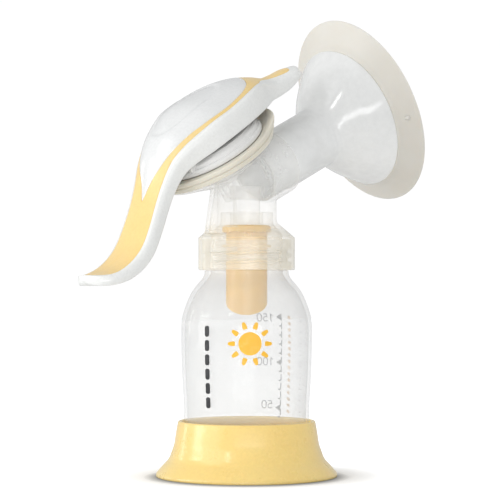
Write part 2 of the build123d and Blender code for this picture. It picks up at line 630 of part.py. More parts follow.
def handle_shell(outer):
    return less(outer, skin_loft(0), void_loft(0, below=4.0))


def handle_cover(skin):
    along = [t for t, _ in COVER]
    along[0] += COVER_START_GAP
    along[-1] -= COVER_END_GAP
    wires = [cover_wire(t, y - GAP) for t, (_, y) in zip(along, COVER)]
    return shared(skin, Solid.make_loft(wires))


def handle_grip(skin):
    return less(skin, Solid.make_loft([cover_wire(t, y) for t, y in COVER]))


def handle_frame():
    """Two cheeks with the fulcrum holes and stem slots, joined by two bridges."""
    cheeks = []
    for y in (-CHEEK_Y, CHEEK_Y - CHEEK_T):
        cheek = bowl_box(-25.0, 11.2, y, 34.0, CHEEK_T, 24.0)
        cheek = less(cheek, cross_rod(PIVOT_U, PIVOT_W, y - 1, PIN_R + 0.03, 5))
        slot = bowl_box(-SLOT_LENGTH / 2, CROSS_W - SLOT_HALF_H, y - 2,
                        SLOT_LENGTH, 6.0, 2 * SLOT_HALF_H)
        cheeks.append(less(cheek, slot))
    bridges = [bowl_box(u, BRIDGE_W, -BRIDGE_Y, 3.0, 2 * BRIDGE_Y, 4.0) for u in (5.6, -17.0)]
    return shared(join(*cheeks, *bridges), void_loft(GAP, below=3.0))


# ---------------------------------------------------------------- export
save("bottle_stand", bottle_stand())
save("milk_bottle", milk_bottle())
save("connector_body", connector_body())
save("valve_head", valve_head())
save("valve_membrane", valve_membrane())
save("breast_shield_funnel", breast_shield_funnel())
save("shield_soft_rim", shield_soft_rim())
save("diaphragm", diaphragm())
save("pull_stem", pull_stem())
save("stem_o_ring", stem_o_ring())
save("stem_cross_pin", cross_rod(0, CROSS_W, -CROSS_PIN_Y, PIN_R, 2 * CROSS_PIN_Y))
save("swivel_carrier", swivel_carrier())
save("fulcrum_pin", cross_rod(PIVOT_U, PIVOT_W, -EAR_Y, PIN_R, 2 * EAR_Y))

handle_outer = Solid.make_loft([outer_wire(t) for t in OUTER_STOPS])
handle_skin = shared(handle_outer, skin_loft(GAP))
save("handle_shell", handle_shell(handle_outer))
save("handle_cover", handle_cover(handle_skin))
save("handle_grip", handle_grip(handle_skin))
save("handle_frame", handle_frame())
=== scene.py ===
# A manual breast pump standing on z = 0, with the axis of its stand and bottle on +Z.
# The breast shield opens towards +X and upwards. The handle runs over the top, and its lever
# drops away on the -X side. Tables are in millimetres; shader distances are in metres.
import math

import bmesh
import bpy
import numpy as np
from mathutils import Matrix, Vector


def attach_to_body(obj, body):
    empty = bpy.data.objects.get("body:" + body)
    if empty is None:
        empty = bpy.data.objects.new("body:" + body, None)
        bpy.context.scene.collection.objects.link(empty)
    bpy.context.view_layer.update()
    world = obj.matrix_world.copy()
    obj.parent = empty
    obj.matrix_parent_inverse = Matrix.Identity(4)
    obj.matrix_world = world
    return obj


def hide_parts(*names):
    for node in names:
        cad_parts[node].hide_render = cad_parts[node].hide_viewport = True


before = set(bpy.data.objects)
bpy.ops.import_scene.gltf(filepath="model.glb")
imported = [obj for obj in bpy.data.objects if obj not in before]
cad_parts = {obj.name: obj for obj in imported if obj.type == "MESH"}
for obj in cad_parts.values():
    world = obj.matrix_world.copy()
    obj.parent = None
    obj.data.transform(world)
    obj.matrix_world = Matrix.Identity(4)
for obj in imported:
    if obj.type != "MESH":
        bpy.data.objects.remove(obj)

scene = bpy.context.scene
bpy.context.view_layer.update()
MM = 0.001


# ------------------------------------------------------------------ frames
def tilted(degrees):
    """Unit vectors along and square to a slope in the XZ plane."""
    angle = math.radians(degrees)
    cos, sin = math.cos(angle), math.sin(angle)
    return np.array([cos, 0, sin]), np.array([-sin, 0, cos])


BOWL_TILT = 35.0
SHIELD_TILT = 26.1
BOWL_CENTRE = np.array([-18.8, 0, 144.5])
SHIELD_CENTRE = np.array([0, 0, 136.3])
BOWL_U, BOWL_W = tilted(BOWL_TILT)
SHIELD_AXIS, SHIELD_UP = tilted(SHIELD_TILT)
Y_AXIS = np.array([0, 1.0, 0])
# A frame is an origin and three axes; pieces turn about the third.
WORLD = (np.zeros(3), np.array([1.0, 0, 0]), Y_AXIS, np.array([0, 0, 1.0]))
BOWL = (BOWL_CENTRE, BOWL_U, Y_AXIS, BOWL_W)
SHIELD = (SHIELD_CENTRE, SHIELD_UP, Y_AXIS, SHIELD_AXIS)


# ------------------------------------------------------------------ mesh tools
def tidy(mesh, weld=None):
    """Face all normals outwards, after joining vertices closer than weld (metres)."""
    bm = bmesh.new()
    bm.from_mesh(mesh)
    if weld:
        bmesh.ops.remove_doubles(bm, verts=bm.verts, dist=weld)
    bmesh.ops.recalc_face_normals(bm, faces=bm.faces)
    bm.to_mesh(mesh)
    bm.free()


def shade(mesh, sharp, smooth=True):
    """Smooth shading that breaks at edges over sharp degrees; None breaks nowhere."""
    for face in mesh.polygons:
        face.use_smooth = smooth
    if smooth and sharp:
        mesh.set_sharp_from_angle(angle=math.radians(sharp))


def make(name, verts, faces, look, sharp=38.0, smooth=True):
    """Object from vertices in millimetres."""
    mesh = bpy.data.meshes.new(name)
    mesh.from_pydata([tuple(float(x) * MM for x in vert) for vert in verts], [],
                     [tuple(int(i) for i in face) for face in faces])
    mesh.validate()
    tidy(mesh)
    shade(mesh, sharp, smooth)
    piece = bpy.data.objects.new(name, mesh)
    scene.collection.objects.link(piece)
    mesh.materials.append(look)
    return piece


def attach(piece, moves_with, replaces=None):
    """Tell the frame what a piece moves with, which CAD piece it replaces."""
    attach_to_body(piece, moves_with)
    if replaces:
        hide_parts(replaces)


def repaint(node_name, look):
    """Give a CAD piece a new material."""
    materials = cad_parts[node_name].data.materials
    materials.clear()
    materials.append(look)


def grid_faces(rows, columns, close_rows=False, close_columns=False, base=0):
    """Quads of a grid of vertices numbered row by row from base."""
    faces = []
    for i in range(rows if close_rows else rows - 1):
        for j in range(columns if close_columns else columns - 1):
            here = base + i * columns
            after = base + (i + 1) % rows * columns
            k = (j + 1) % columns
            faces.append((here + j, here + k, after + k, after + j))
    return faces


def fan_cap(verts, faces, ring):
    """Close a ring of vertex indices with triangles to its mean point."""
    centre = len(verts)
    verts.append(np.mean([verts[i] for i in ring], axis=0))
    for i, j in zip(ring, ring[1:] + ring[:1]):
        faces.append((i, j, centre))


def loft(rows, fan=False):
    """Vertices and faces of closed sections joined in order, with fan or flat ends."""
    count = len(rows[0])
    verts = [vert for row in rows for vert in row]
    faces = grid_faces(len(rows), count, close_columns=True)
    first = list(range(count))
    last = [(len(rows) - 1) * count + j for j in first]
    if fan:
        fan_cap(verts, faces, first)
        fan_cap(verts, faces, last)
    else:
        faces += [first[::-1], last]
    return verts, faces


def smoothstep(x):
    return x * x * (3 - 2 * x)


def edge_drop(radius, distance):
    """Fall of a quarter-round edge at a distance in from it."""
    if distance >= radius:
        return 0.0
    return radius - math.sqrt(max(radius * radius - (radius - distance) ** 2, 0))


def round_poly(points, radius, steps):
    """Closed 2-D outline with rounded corners; a point's third value is its own radius."""
    out = []
    count = len(points)
    for i in range(count):
        before, corner, after = (np.array(points[(i + k) % count][:2], float)
                                 for k in (-1, 0, 1))
        own = points[i][2] if len(points[i]) > 2 else radius
        back, ahead = before - corner, after - corner
        back_len, ahead_len = np.linalg.norm(back), np.linalg.norm(ahead)
        if own <= 0 or back_len < 1e-6 or ahead_len < 1e-6:
            out.append(corner)
            continue
        back, ahead = back / back_len, ahead / ahead_len
        half = math.acos(float(np.clip(back @ ahead, -1, 1))) / 2
        if half > math.radians(87):             # nearly straight
            out.append(corner)
            continue
        cut = min(own / math.tan(half), back_len * 0.45, ahead_len * 0.45)
        start, end = corner + back * cut, corner + ahead * cut
        for k in range(steps + 1):
            x = k / steps
            out.append((1 - x) ** 2 * start + 2 * x * (1 - x) * corner + x * x * end)
    return out


def smooth_curve(points, steps):
    """Catmull-Rom curve through points of any dimension, with steps per span."""
    knots = [np.array(point, float) for point in points]
    knots = [2 * knots[0] - knots[1]] + knots + [2 * knots[-1] - knots[-2]]
    out = []
    for p0, p1, p2, p3 in zip(knots, knots[1:], knots[2:], knots[3:]):
        for k in range(steps):
            x = k / steps
            out.append(0.5 * ((2 * p1) + (-p0 + p2) * x + (2 * p0 - 5 * p1 + 4 * p2 - p3) * x * x
                              + (-p0 + 3 * p1 - 3 * p2 + p3) * x ** 3))
    out.append(knots[-2])
    return [tuple(float(x) for x in point) for point in out]


def turned(name, outline, look, seg, axes=WORLD, sharp=38.0, radial=None):
    """Closed (radius, height) outline turned about a frame's third axis.

    radial(angle, radius, height) may move a point; points on the axis are shared.
    """
    origin, x, y, z = axes
    verts, count = [], len(outline)
    index = [[0] * count for _ in range(seg)]
    for j, point in enumerate(outline):
        on_axis = abs(point[0]) < 1e-6
        for i in range(seg):
            if on_axis and i:
                index[i][j] = index[0][j]
                continue
            angle = 2 * math.pi * i / seg
            radius, height = radial(angle, *point) if radial else point
            index[i][j] = len(verts)
            verts.append(origin + x * (radius * math.cos(angle))
                         + y * (radius * math.sin(angle)) + z * height)
    return make(name, verts, ring_faces(index, close=True), look, sharp)


def ring_faces(index, close):
    """Faces between radial rows of vertex indices, with repeated corners merged."""
    faces = []
    seg, count = len(index), len(index[0])
    for i in range(seg):
        after = index[(i + 1) % seg]
        for j in range(count if close else count - 1):
            k = (j + 1) % count
            face = list(dict.fromkeys((index[i][j], index[i][k], after[k], after[j])))
            if len(face) > 2:
                faces.append(face)
    return faces


# ------------------------------------------------------------------ shader tools
class Nodes:
    """The emptied node tree of a material or world."""

    def __init__(self, owner):
        owner.use_nodes = True
        self.tree = owner.node_tree
        self.tree.nodes.clear()

    def add(self, kind, **settings):
        node = self.tree.nodes.new(kind)
        for key, value in settings.items():
            setattr(node, key, value)
        return node

    def feed(self, socket, value):
        """Link a socket to an output, or set its value."""
        if isinstance(value, bpy.types.NodeSocket):
            self.tree.links.new(value, socket)
        else:
            socket.default_value = value

    def math(self, operation, first, second, clamp=False):
        node = self.add("ShaderNodeMath", operation=operation, use_clamp=clamp)
        self.feed(node.inputs[0], first)
        self.feed(node.inputs[1], second)
        return node.outputs[0]

    def ramp(self, source, stops):
        """Colour ramp of (position, grey or RGB) stops."""
        node = self.add("ShaderNodeValToRGB")
        elements = node.color_ramp.elements
        while len(elements) < len(stops):
            elements.new(0.5)
        for i, (position, colour) in enumerate(stops):
            if not isinstance(colour, (tuple, list)):
                colour = (colour,) * 3
            elements[i].position = position
            elements[i].color = (*colour, 1)
        self.feed(node.inputs[0], source)
        return node.outputs[0]

    def remap(self, source, low, high, to_low, to_high, **settings):
        node = self.add("ShaderNodeMapRange", **settings)
        for socket, value in zip(node.inputs, (source, low, high, to_low, to_high)):
            self.feed(socket, value)
        return node.outputs[0]

    def mix(self, factor, first, second, mode="MIX"):
        node = self.add("ShaderNodeMix", data_type="RGBA", blend_type=mode)
        self.feed(node.inputs[0], factor)
        for socket, value in ((node.inputs[6], first), (node.inputs[7], second)):
            self.feed(socket, (*value, 1) if isinstance(value, tuple) else value)
        return node.outputs[2]


class Look(Nodes):
    """A material built round one Principled shader in object coordinates."""

    def __init__(self, name):
        self.material = bpy.data.materials.new(name)
        super().__init__(self.material)
        output = self.add("ShaderNodeOutputMaterial")
        self.surface = self.add("ShaderNodeBsdfPrincipled")
        self.feed(output.inputs[0], self.surface.outputs[0])
        self.coords = self.add("ShaderNodeTexCoord").outputs["Object"]

    def set(self, name, value):
        self.feed(self.surface.inputs[name], value)

    def noise(self, scale, detail, rough=0.55):
        node = self.add("ShaderNodeTexNoise")
        node.inputs["Scale"].default_value = scale
        node.inputs["Detail"].default_value = detail
        node.inputs["Roughness"].default_value = rough
        self.feed(node.inputs["Vector"], self.coords)
        return node.outputs[0]

    def patchy(self, noise, low, high):
        """Roughness that wanders from low to high with a noise."""
        self.set("Roughness", self.remap(noise, 0.3, 0.7, low, high))

    def paint_hollow_shade_ridge_light(self, colour, strength, stops):
        """Painted shade in hollows and painted highlight on ridges, by pointiness."""
        pointiness = self.add("ShaderNodeNewGeometry").outputs["Pointiness"]
        edge = self.ramp(pointiness, stops)
        return self.mix(strength, colour, self.mix(1.0, colour, edge, mode="MULTIPLY"))

    def facing(self):
        """0 facing the eye, 1 at grazing angles."""
        node = self.add("ShaderNodeLayerWeight")
        node.inputs["Blend"].default_value = 0.5
        return node.outputs["Facing"]

    def height_ramp(self, low, high, stops):
        """Ramp over object z from low to high, in metres."""
        split = self.add("ShaderNodeSeparateXYZ")
        self.feed(split.inputs[0], self.coords)
        return self.ramp(self.remap(split.outputs[2], low, high, 0, 1), stops)

    def bumps(self, *layers):
        """Chained bumps from (height, strength, distance in metres)."""
        normal = None
        for height, strength, distance in layers:
            node = self.add("ShaderNodeBump")
            node.inputs["Strength"].default_value = strength
            node.inputs["Distance"].default_value = distance
            self.feed(node.inputs["Height"], height)
            if normal is not None:
                self.feed(node.inputs["Normal"], normal)
            normal = node.outputs[0]
        self.set("Normal", normal)

    def scatter(self, weight, radius, scale):
        """Light spreading under the surface; scale in metres."""
        self.set("Subsurface Weight", weight)
        self.set("Subsurface Radius", radius)
        self.set("Subsurface Scale", scale)


# ------------------------------------------------------------------ materials
def solid_plastic(name, base, dark, light, rough, grain, spec=0.45, sub=0.0, coat=0.0):
    """Moulded opaque plastic: slow colour drift, fine grain, scuffed sheen."""
    look = Look(name)
    drift = look.ramp(look.noise(scale=22, detail=3), [(0.30, dark), (0.52, base), (0.72, light)])
    fine = look.ramp(look.noise(scale=900, detail=2), [(0.35, 0.955), (0.62, 1.0)])
    colour = look.mix(1.0, drift, fine, mode="MULTIPLY")
    # painted shade in hollows and painted highlight on ridges
    colour = look.paint_hollow_shade_ridge_light(colour, 0.2, stops=[(0.42, 0.93), (0.50, 1.0), (0.60, 1.04)])
    look.set("Base Color", colour)
    look.patchy(look.noise(scale=60, detail=6, rough=0.7), *rough)
    look.set("Specular IOR Level", spec)
    if coat:
        look.set("Coat Weight", coat)
        look.set("Coat Roughness", 0.18)
    if sub:
        look.scatter(sub, radius=(0.9, 0.6, 0.35), scale=0.004)
    look.bumps((look.noise(scale=1500, detail=2), grain * 0.35, 0.00005),
               (look.noise(scale=130, detail=4), grain, 0.00012))
    return look.material


def clear_plastic(name, tint, edge_tint, face_alpha, edge_alpha, rough, grain,
                  bands=None, painted_light_and_shade_by_height=None):
    """See-through plastic, cloudier at grazing angles.

    bands scales opacity by height; the height tint after it is painted light and shade, a colour
    multiplied in by height. Both are (low, high, stops).
    """
    look = Look(name)
    facing = look.facing()
    haze = look.noise(scale=55, detail=5, rough=0.6)
    grazing = look.math("POWER", facing, 2.2)
    alpha = look.math("MULTIPLY", look.remap(grazing, 0, 1, face_alpha, edge_alpha),
                      look.remap(haze, 0.3, 0.7, 0.88, 1.14), clamp=True)
    if bands:
        alpha = look.math("MULTIPLY", alpha, look.height_ramp(*bands), clamp=True)
    # shadows are almost fully let through
    shadow_ray = look.add("ShaderNodeLightPath").outputs["Is Shadow Ray"]
    shadow = look.remap(shadow_ray, 0, 1, 1.0, 0.06)
    look.set("Alpha", look.math("MULTIPLY", alpha, shadow, clamp=True))
    colour = look.mix(grazing, tint, edge_tint)
    # painted light and shade: the colour is multiplied by a height ramp
    if painted_light_and_shade_by_height:
        colour = look.mix(1.0, colour, look.height_ramp(*painted_light_and_shade_by_height), mode="MULTIPLY")
    mottle = look.ramp(haze, [(0.35, 0.965), (0.65, 1.0)])
    look.set("Base Color", look.mix(1.0, colour, mottle, mode="MULTIPLY"))
    look.patchy(look.noise(scale=90, detail=6, rough=0.7), *rough)
    look.set("Specular IOR Level", 0.55)
    look.bumps((look.noise(scale=35, detail=2, rough=0.5), grain, 0.0004),
               (look.noise(scale=700, detail=2), grain * 0.4, 0.00004))
    return look.material


def silicone(name, base, dark, light, alpha=1.0):
    """Soft moulded silicone: satin sheen, painted shade in recesses and painted highlight on
    ridges, faint dimples.
    """
    look = Look(name)
    colour = look.ramp(look.noise(scale=30, detail=4), [(0.3, dark), (0.5, base), (0.72, light)])
    # painted shade in recesses and painted highlight on ridges
    colour = look.paint_hollow_shade_ridge_light(colour, 0.8, stops=[(0.44, 0.86), (0.50, 1.0), (0.57, 1.05)])
    look.set("Base Color", colour)
    look.patchy(look.noise(scale=140, detail=5, rough=0.7), low=0.38, high=0.52)
    look.set("Sheen Weight", 0.12)
    look.set("Sheen Roughness", 0.5)
    look.set("Specular IOR Level", 0.35)
    look.scatter(0.25, radius=(1.0, 0.8, 0.6), scale=0.003)
    if alpha < 1:
        look.set("Alpha", look.remap(look.facing(), 0, 1, alpha, 1.0))
    look.bumps((look.noise(scale=60, detail=3), 0.18, 0.00025),
               (look.noise(scale=1100, detail=2), 0.12, 0.00004))
    return look.material


def ink(name, base, faded):
    """Printed ink with a slightly broken colour."""
    look = Look(name)
    colour = look.ramp(look.noise(scale=420, detail=4, rough=0.7), [(0.28, faded), (0.48, base)])
    look.set("Base Color", colour)
    look.patchy(look.noise(scale=800, detail=2), low=0.3, high=0.5)
    look.bumps((look.noise(scale=900, detail=2), 0.2, 0.00003))
    return look.material


# Colours of plastics and silicones are base, dark, light.
STAND_LOOK = solid_plastic(
    "stand_plastic_look", (0.96, 0.70, 0.24), (0.945, 0.675, 0.225), (0.975, 0.725, 0.265),
    rough=(0.24, 0.33), grain=0.10, spec=0.5, sub=0.12, coat=0.45)
WHITE_LOOK = solid_plastic(
    "handle_white_look", (0.85, 0.855, 0.835), (0.825, 0.83, 0.81), (0.875, 0.88, 0.86),
    rough=(0.26, 0.34), grain=0.08, coat=0.25)
COVER_LOOK = solid_plastic(
    "handle_cover_look", (0.775, 0.78, 0.775), (0.755, 0.76, 0.755), (0.795, 0.80, 0.795),
    rough=(0.14, 0.20), grain=0.03, spec=0.5, coat=0.6)
GRIP_LOOK = solid_plastic(
    "grip_yellow_look", (0.93, 0.665, 0.27), (0.91, 0.63, 0.235), (0.945, 0.70, 0.32),
    rough=(0.28, 0.38), grain=0.10, spec=0.42, sub=0.1, coat=0.15)
CARRIER_LOOK = solid_plastic(
    "carrier_look", (0.75, 0.745, 0.725), (0.71, 0.705, 0.69), (0.78, 0.775, 0.76),
    rough=(0.36, 0.46), grain=0.12)
FRAME_LOOK = solid_plastic(
    "frame_look", (0.78, 0.78, 0.765), (0.73, 0.73, 0.715), (0.82, 0.82, 0.805),
    rough=(0.4, 0.5), grain=0.15)
STEM_LOOK = solid_plastic(
    "stem_look", (0.80, 0.80, 0.78), (0.74, 0.74, 0.72), (0.84, 0.84, 0.82),
    rough=(0.25, 0.4), grain=0.2)
PIN_LOOK = solid_plastic(
    "pin_look", (0.72, 0.72, 0.71), (0.66, 0.66, 0.65), (0.76, 0.76, 0.75),
    rough=(0.3, 0.45), grain=0.2)
VALVE_LOOK = solid_plastic(
    "valve_look", (0.98, 0.62, 0.19), (0.96, 0.57, 0.155), (0.985, 0.67, 0.25),
    rough=(0.25, 0.36), grain=0.12, sub=0.2)
DIAPHRAGM_LOOK = silicone(
    "diaphragm_look", (0.71, 0.67, 0.57), (0.67, 0.63, 0.53), (0.75, 0.715, 0.62))
O_RING_LOOK = silicone("o_ring_look", (0.55, 0.50, 0.40), (0.48, 0.44, 0.34), (0.6, 0.56, 0.46))
RIM_LOOK = silicone(
    "shield_rim_look", (0.68, 0.655, 0.60), (0.655, 0.63, 0.57), (0.71, 0.69, 0.64), alpha=0.95)
FLAP_LOOK = silicone(
    "valve_membrane_look", (0.84, 0.83, 0.80), (0.8, 0.79, 0.76), (0.88, 0.87, 0.85))
BOTTLE_LOOK = clear_plastic(
    "bottle_look", tint=(0.80, 0.805, 0.80), edge_tint=(0.76, 0.77, 0.775),
    face_alpha=0.20, edge_alpha=0.46, rough=(0.06, 0.12), grain=0.05,
    bands=(0.0, 0.050, [(0.0, 1.0), (0.33, 1.0), (0.38, 0.4), (0.49, 0.4), (0.54, 1.0),
                        (1.0, 1.0)]))
CONNECTOR_LOOK = clear_plastic(
    "connector_look", tint=(0.97, 0.965, 0.95), edge_tint=(0.90, 0.895, 0.875),
    face_alpha=0.18, edge_alpha=0.58, rough=(0.10, 0.18), grain=0.10,
    bands=(0.090, 0.190, [(0.0, 1.35), (0.21, 1.35), (0.26, 0.58), (0.31, 0.62), (0.48, 1.4),
                          (1.0, 1.6)]),
    # painted warm light from the yellow valve, cream low on the connector
    painted_light_and_shade_by_height=(0.090, 0.150, [(0.0, (1.0, 0.96, 0.84)), (0.40, (1.0, 0.97, 0.87)),
                         (0.60, (1.0, 1.0, 0.99)), (1.0, (1.0, 1.0, 1.0))]))
FUNNEL_LOOK = clear_plastic(
    "funnel_look", tint=(0.91, 0.915, 0.905), edge_tint=(0.90, 0.905, 0.895),
    face_alpha=0.78, edge_alpha=0.84, rough=(0.10, 0.15), grain=0.03,
    # painted shade, darker towards the top of the funnel
    painted_light_and_shade_by_height=(0.13, 0.21, [(0.0, 1.0), (0.22, 1.0), (0.45, 0.88), (1.0, 0.82)]))
SCALE_INK = ink("scale_ink", base=(0.20, 0.21, 0.22), faded=(0.34, 0.35, 0.36))
DARK_INK = ink("dark_ink", base=(0.015, 0.016, 0.018), faded=(0.05, 0.05, 0.055))
ACCENT_INK = ink("accent_ink", base=(0.95, 0.52, 0.03), faded=(0.96, 0.60, 0.10))
FAINT_INK = ink("faint_ink", base=(0.85, 0.62, 0.40), faded=(0.86, 0.72, 0.56))

# ------------------------------------------------------------------ bottle stand
# Each part of the outline is (radius, z).
stand_outside = smooth_curve(
    [(41.55, 0.45), (41.5, 1.2), (41.05, 2.0), (39.8, 3.5), (38.2, 5.3), (36.4, 7.2), (35.3, 9.0),
     (34.6, 10.9), (33.3, 14.6), (32.7, 18.2), (32.1, 21.9), (31.6, 24.5)], 6)
stand_lip = [(31.5, 24.95), (31.25, 25.25), (30.9, 25.38), (30.5, 25.4), (30.1, 25.3),
             (29.78, 25.05)]
stand_inside = smooth_curve([(29.6, 24.5), (30.0, 21.9), (30.7, 18.1), (31.3, 14.4),
                             (32.2, 12.0)], 5)
stand_ledge = round_poly([(32.25, 11.9, 0), (22.0, 11.9), (22.0, 9.8), (32.8, 9.8, 0.6)], 0.35, 3)
stand_under = smooth_curve([(32.9, 9.6), (33.5, 8.5), (34.7, 6.5), (36.4, 4.7), (38.0, 2.9),
                            (39.3, 1.4), (39.7, 0.6)], 5)
stand_foot = [(39.85, 0.2), (40.1, 0.03), (40.5, 0.0), (41.1, 0.0), (41.4, 0.08), (41.52, 0.25)]
stand = turned("bottle_stand_moulding",
               stand_outside + stand_lip + stand_inside + stand_ledge + stand_under + stand_foot,
               STAND_LOOK, seg=192, sharp=50)
attach(stand, "stand", replaces="bottle_stand")

CATCH_ROWS, CATCH_COLUMNS = 13, 11
CATCH_Z, CATCH_HEIGHT, CATCH_HALF_WIDTH = 15.4, 6.2, 2.6
CATCH_EDGE_R, CATCH_PEAK_R, CATCH_BACK_R = 31.0, 28.99, 31.2


def stand_catch(number):
    """Pillow bulging inwards from the stand wall."""
    inner, back = [], []
    for i in range(CATCH_ROWS):
        z = CATCH_Z + CATCH_HEIGHT * i / (CATCH_ROWS - 1)
        bulge = math.sin(math.pi * i / (CATCH_ROWS - 1)) ** 0.6
        for j in range(CATCH_COLUMNS):
            across = -1 + 2 * j / (CATCH_COLUMNS - 1)
            y = CATCH_HALF_WIDTH * across
            swell = bulge * (1 - abs(across) ** 4)
            inner.append((CATCH_EDGE_R - (CATCH_EDGE_R - CATCH_PEAK_R) * swell, y, z))
            back.append((CATCH_BACK_R, y, z))
    turn = math.radians(45 + 90 * number)
    cos, sin = math.cos(turn), math.sin(turn)
    verts = [(x * cos - y * sin, x * sin + y * cos, z) for x, y, z in inner + back]
    half = len(inner)
    faces = grid_faces(CATCH_ROWS, CATCH_COLUMNS)
    faces += [face[::-1] for face in grid_faces(CATCH_ROWS, CATCH_COLUMNS, base=half)]
    border = list(range(CATCH_COLUMNS))
    border += [CATCH_COLUMNS * (i + 1) - 1 for i in range(1, CATCH_ROWS)]
    border += [half - i for i in range(2, CATCH_COLUMNS + 1)]
    border += [CATCH_COLUMNS * i for i in range(CATCH_ROWS - 2, 0, -1)]
    for i, j in zip(border, border[1:] + border[:1]):
        faces.append((i, j, j + half, i + half))
    return make("stand_catch_%d" % (number + 1), verts, faces, STAND_LOOK)


for i in range(4):
    attach(stand_catch(i), "stand")

# ------------------------------------------------------------------ bottle
# Wall profiles from the base up, (radius, z).
WALL_OUTSIDE = [
    (28.55, 18.0), (28.7, 23.0), (28.8, 27.3), (29.0, 34.7), (29.5, 43.9), (29.85, 53.1),
    (30.05, 62.3), (30.0, 69.7), (29.5, 73.3), (28.4, 77.0), (27.0, 80.7), (25.2, 84.4),
    (23.3, 87.1), (20.9, 89.9), (19.9, 91.3), (19.35, 92.7)]
WALL_INSIDE = [
    (26.9, 18.4), (27.1, 23.0), (27.2, 27.3), (27.4, 34.7), (27.9, 43.9), (28.25, 53.1),
    (28.45, 62.3), (28.4, 69.4), (27.9, 72.6), (26.9, 76.1), (25.5, 79.7), (23.8, 83.2),
    (21.9, 85.9), (19.3, 88.9), (17.7, 91.0), (16.65, 92.7)]
BASE_OUTSIDE = [(0, 13.4), (9, 13.2), (18.0, 12.6), (21.2, 12.1), (22.2, 12.0), (25.6, 12.0),
                (26.6, 12.2), (27.4, 12.9), (28.0, 14.2), (28.4, 16.2)]
BASE_INSIDE = [(26.5, 16.2), (26.0, 14.9), (25.2, 14.1), (23.6, 13.9), (18.0, 14.2), (9, 14.8),
               (0, 15.0)]
NECK_R = 18.6
neck = round_poly([(19.35, 92.9, 0), (19.3, 94.1, 0.3), (NECK_R, 94.3, 0.2), (NECK_R, 108.0, 0.5),
                   (16.6, 108.0, 0.5), (16.6, 93.2, 0)], 0.3, 4)
bottle = turned("bottle_wall",
                BASE_OUTSIDE + smooth_curve(WALL_OUTSIDE, 6) + neck
                + smooth_curve(WALL_INSIDE, 6)[::-1] + BASE_INSIDE,
                BOTTLE_LOOK, seg=160, sharp=60)
attach(bottle, "bottle", replaces="milk_bottle")

THREAD_R, THREAD_Z, THREAD_PITCH, THREAD_TURNS = 20.2, 97.6, 4.0, 1.6
THREAD_ROOT, THREAD_CREST = 1.0, 0.5            # half-widths of the ridge
THREAD_SEG = 72                                 # sections per turn


def bottle_thread():
    """Thread ridge on the neck, with ends that run out smoothly."""
    rows = []
    total = int(THREAD_SEG * THREAD_TURNS)
    for i in range(total + 1):
        along = i / total
        angle = 2 * math.pi * THREAD_TURNS * along
        z = THREAD_Z + THREAD_PITCH * THREAD_TURNS * along
        swell = smoothstep(min(1, along * THREAD_TURNS * 9, (1 - along) * THREAD_TURNS * 9))
        crest = NECK_R + (THREAD_R - NECK_R) * (0.04 + 0.96 * swell)
        section = round_poly([(NECK_R - 0.3, -THREAD_ROOT), (NECK_R, -THREAD_ROOT),
                              (crest, -THREAD_CREST), (crest, THREAD_CREST),
                              (NECK_R, THREAD_ROOT), (NECK_R - 0.3, THREAD_ROOT)], 0.25, 3)
        rows.append([np.array([out * math.cos(angle), out * math.sin(angle), z + up])
                     for out, up in section])
    return make("bottle_thread", *loft(rows), BOTTLE_LOOK)


attach(bottle_thread(), "bottle")

# ------------------------------------------------------------------ prints on the bottle
PRINT_LIFT, PRINT_THICK = 0.05, 0.06


def bottle_radius(z):
    return float(np.interp(z, [point[1] for point in WALL_OUTSIDE],
                           [point[0] for point in WALL_OUTSIDE]))


def printed(name, polygons, azimuth, look):
    """Thin print wrapped on the bottle: x runs along the wall from azimuth, y is height."""
    verts, faces = [], []
    centre = math.radians(azimuth)
    for polygon in polygons:
        count = len(polygon)
        base = len(verts)
        for offset in (PRINT_LIFT, PRINT_LIFT + PRINT_THICK):
            for x, y in polygon:
                wall = bottle_radius(y)
                angle = centre + x / wall
                verts.append(((wall + offset) * math.cos(angle),
                              (wall + offset) * math.sin(angle), y))
        faces.append([base + j for j in range(count)][::-1])
        faces.append([base + count + j for j in range(count)])
        for j in range(count):
            k = (j + 1) % count
            faces.append((base + j, base + k, base + count + k, base + count + j))
    attach(make(name, verts, faces, look, smooth=False), "bottle")


def rectangle(x0, x1, y0, y1):
    return [(x0, y0), (x1, y0), (x1, y1), (x0, y1)]


# Graduation on the far wall (+X side); it reads the right way from outside.
SCALE_AZIMUTH = 16.0
Z_AT_50_ML, MM_PER_ML = 29.7, 0.428


def scale_ticks():
    """Arrowheads each 50 ml, short ticks each 10 ml, and a dashed line beside them."""
    ticks = []
    for volume in range(40, 151, 10):
        z = Z_AT_50_ML + (volume - 50) * MM_PER_ML
        if volume % 50 == 0:
            ticks.append([(0.1, z - 1.5), (2.7, z), (0.1, z + 1.5)])
        else:
            ticks.append([(0.1, z - 0.45), (1.3, z - 0.25), (1.3, z + 0.25), (0.1, z + 0.45)])
    for i in range(12):
        z = 26.2 + 4.05 * i
        ticks.append(rectangle(-0.4, 0.15, z, z + 3.1))
    return ticks


# Pen lines of each numeral, for a height of 1.
GLYPHS = {
    "0": [(0, 0.25), (0, 0.75), (0.15, 1), (0.45, 1), (0.6, 0.75), (0.6, 0.25), (0.45, 0),
          (0.15, 0), (0, 0.25)],
    "1": [(0.1, 0.8), (0.35, 1.0), (0.35, 0.0)],
    "5": [(0.58, 1.0), (0.08, 1.0), (0.04, 0.55), (0.3, 0.64), (0.55, 0.5), (0.6, 0.28),
          (0.45, 0.03), (0.2, 0.0), (0.02, 0.12)],
}
NUMERAL_HEIGHT, PEN_WIDTH = 3.4, 0.42
NUMERALS = [("50", 4.4, 29.4), ("100", 4.2, 49.7), ("150", 4.2, 70.5)]     # text, x, z


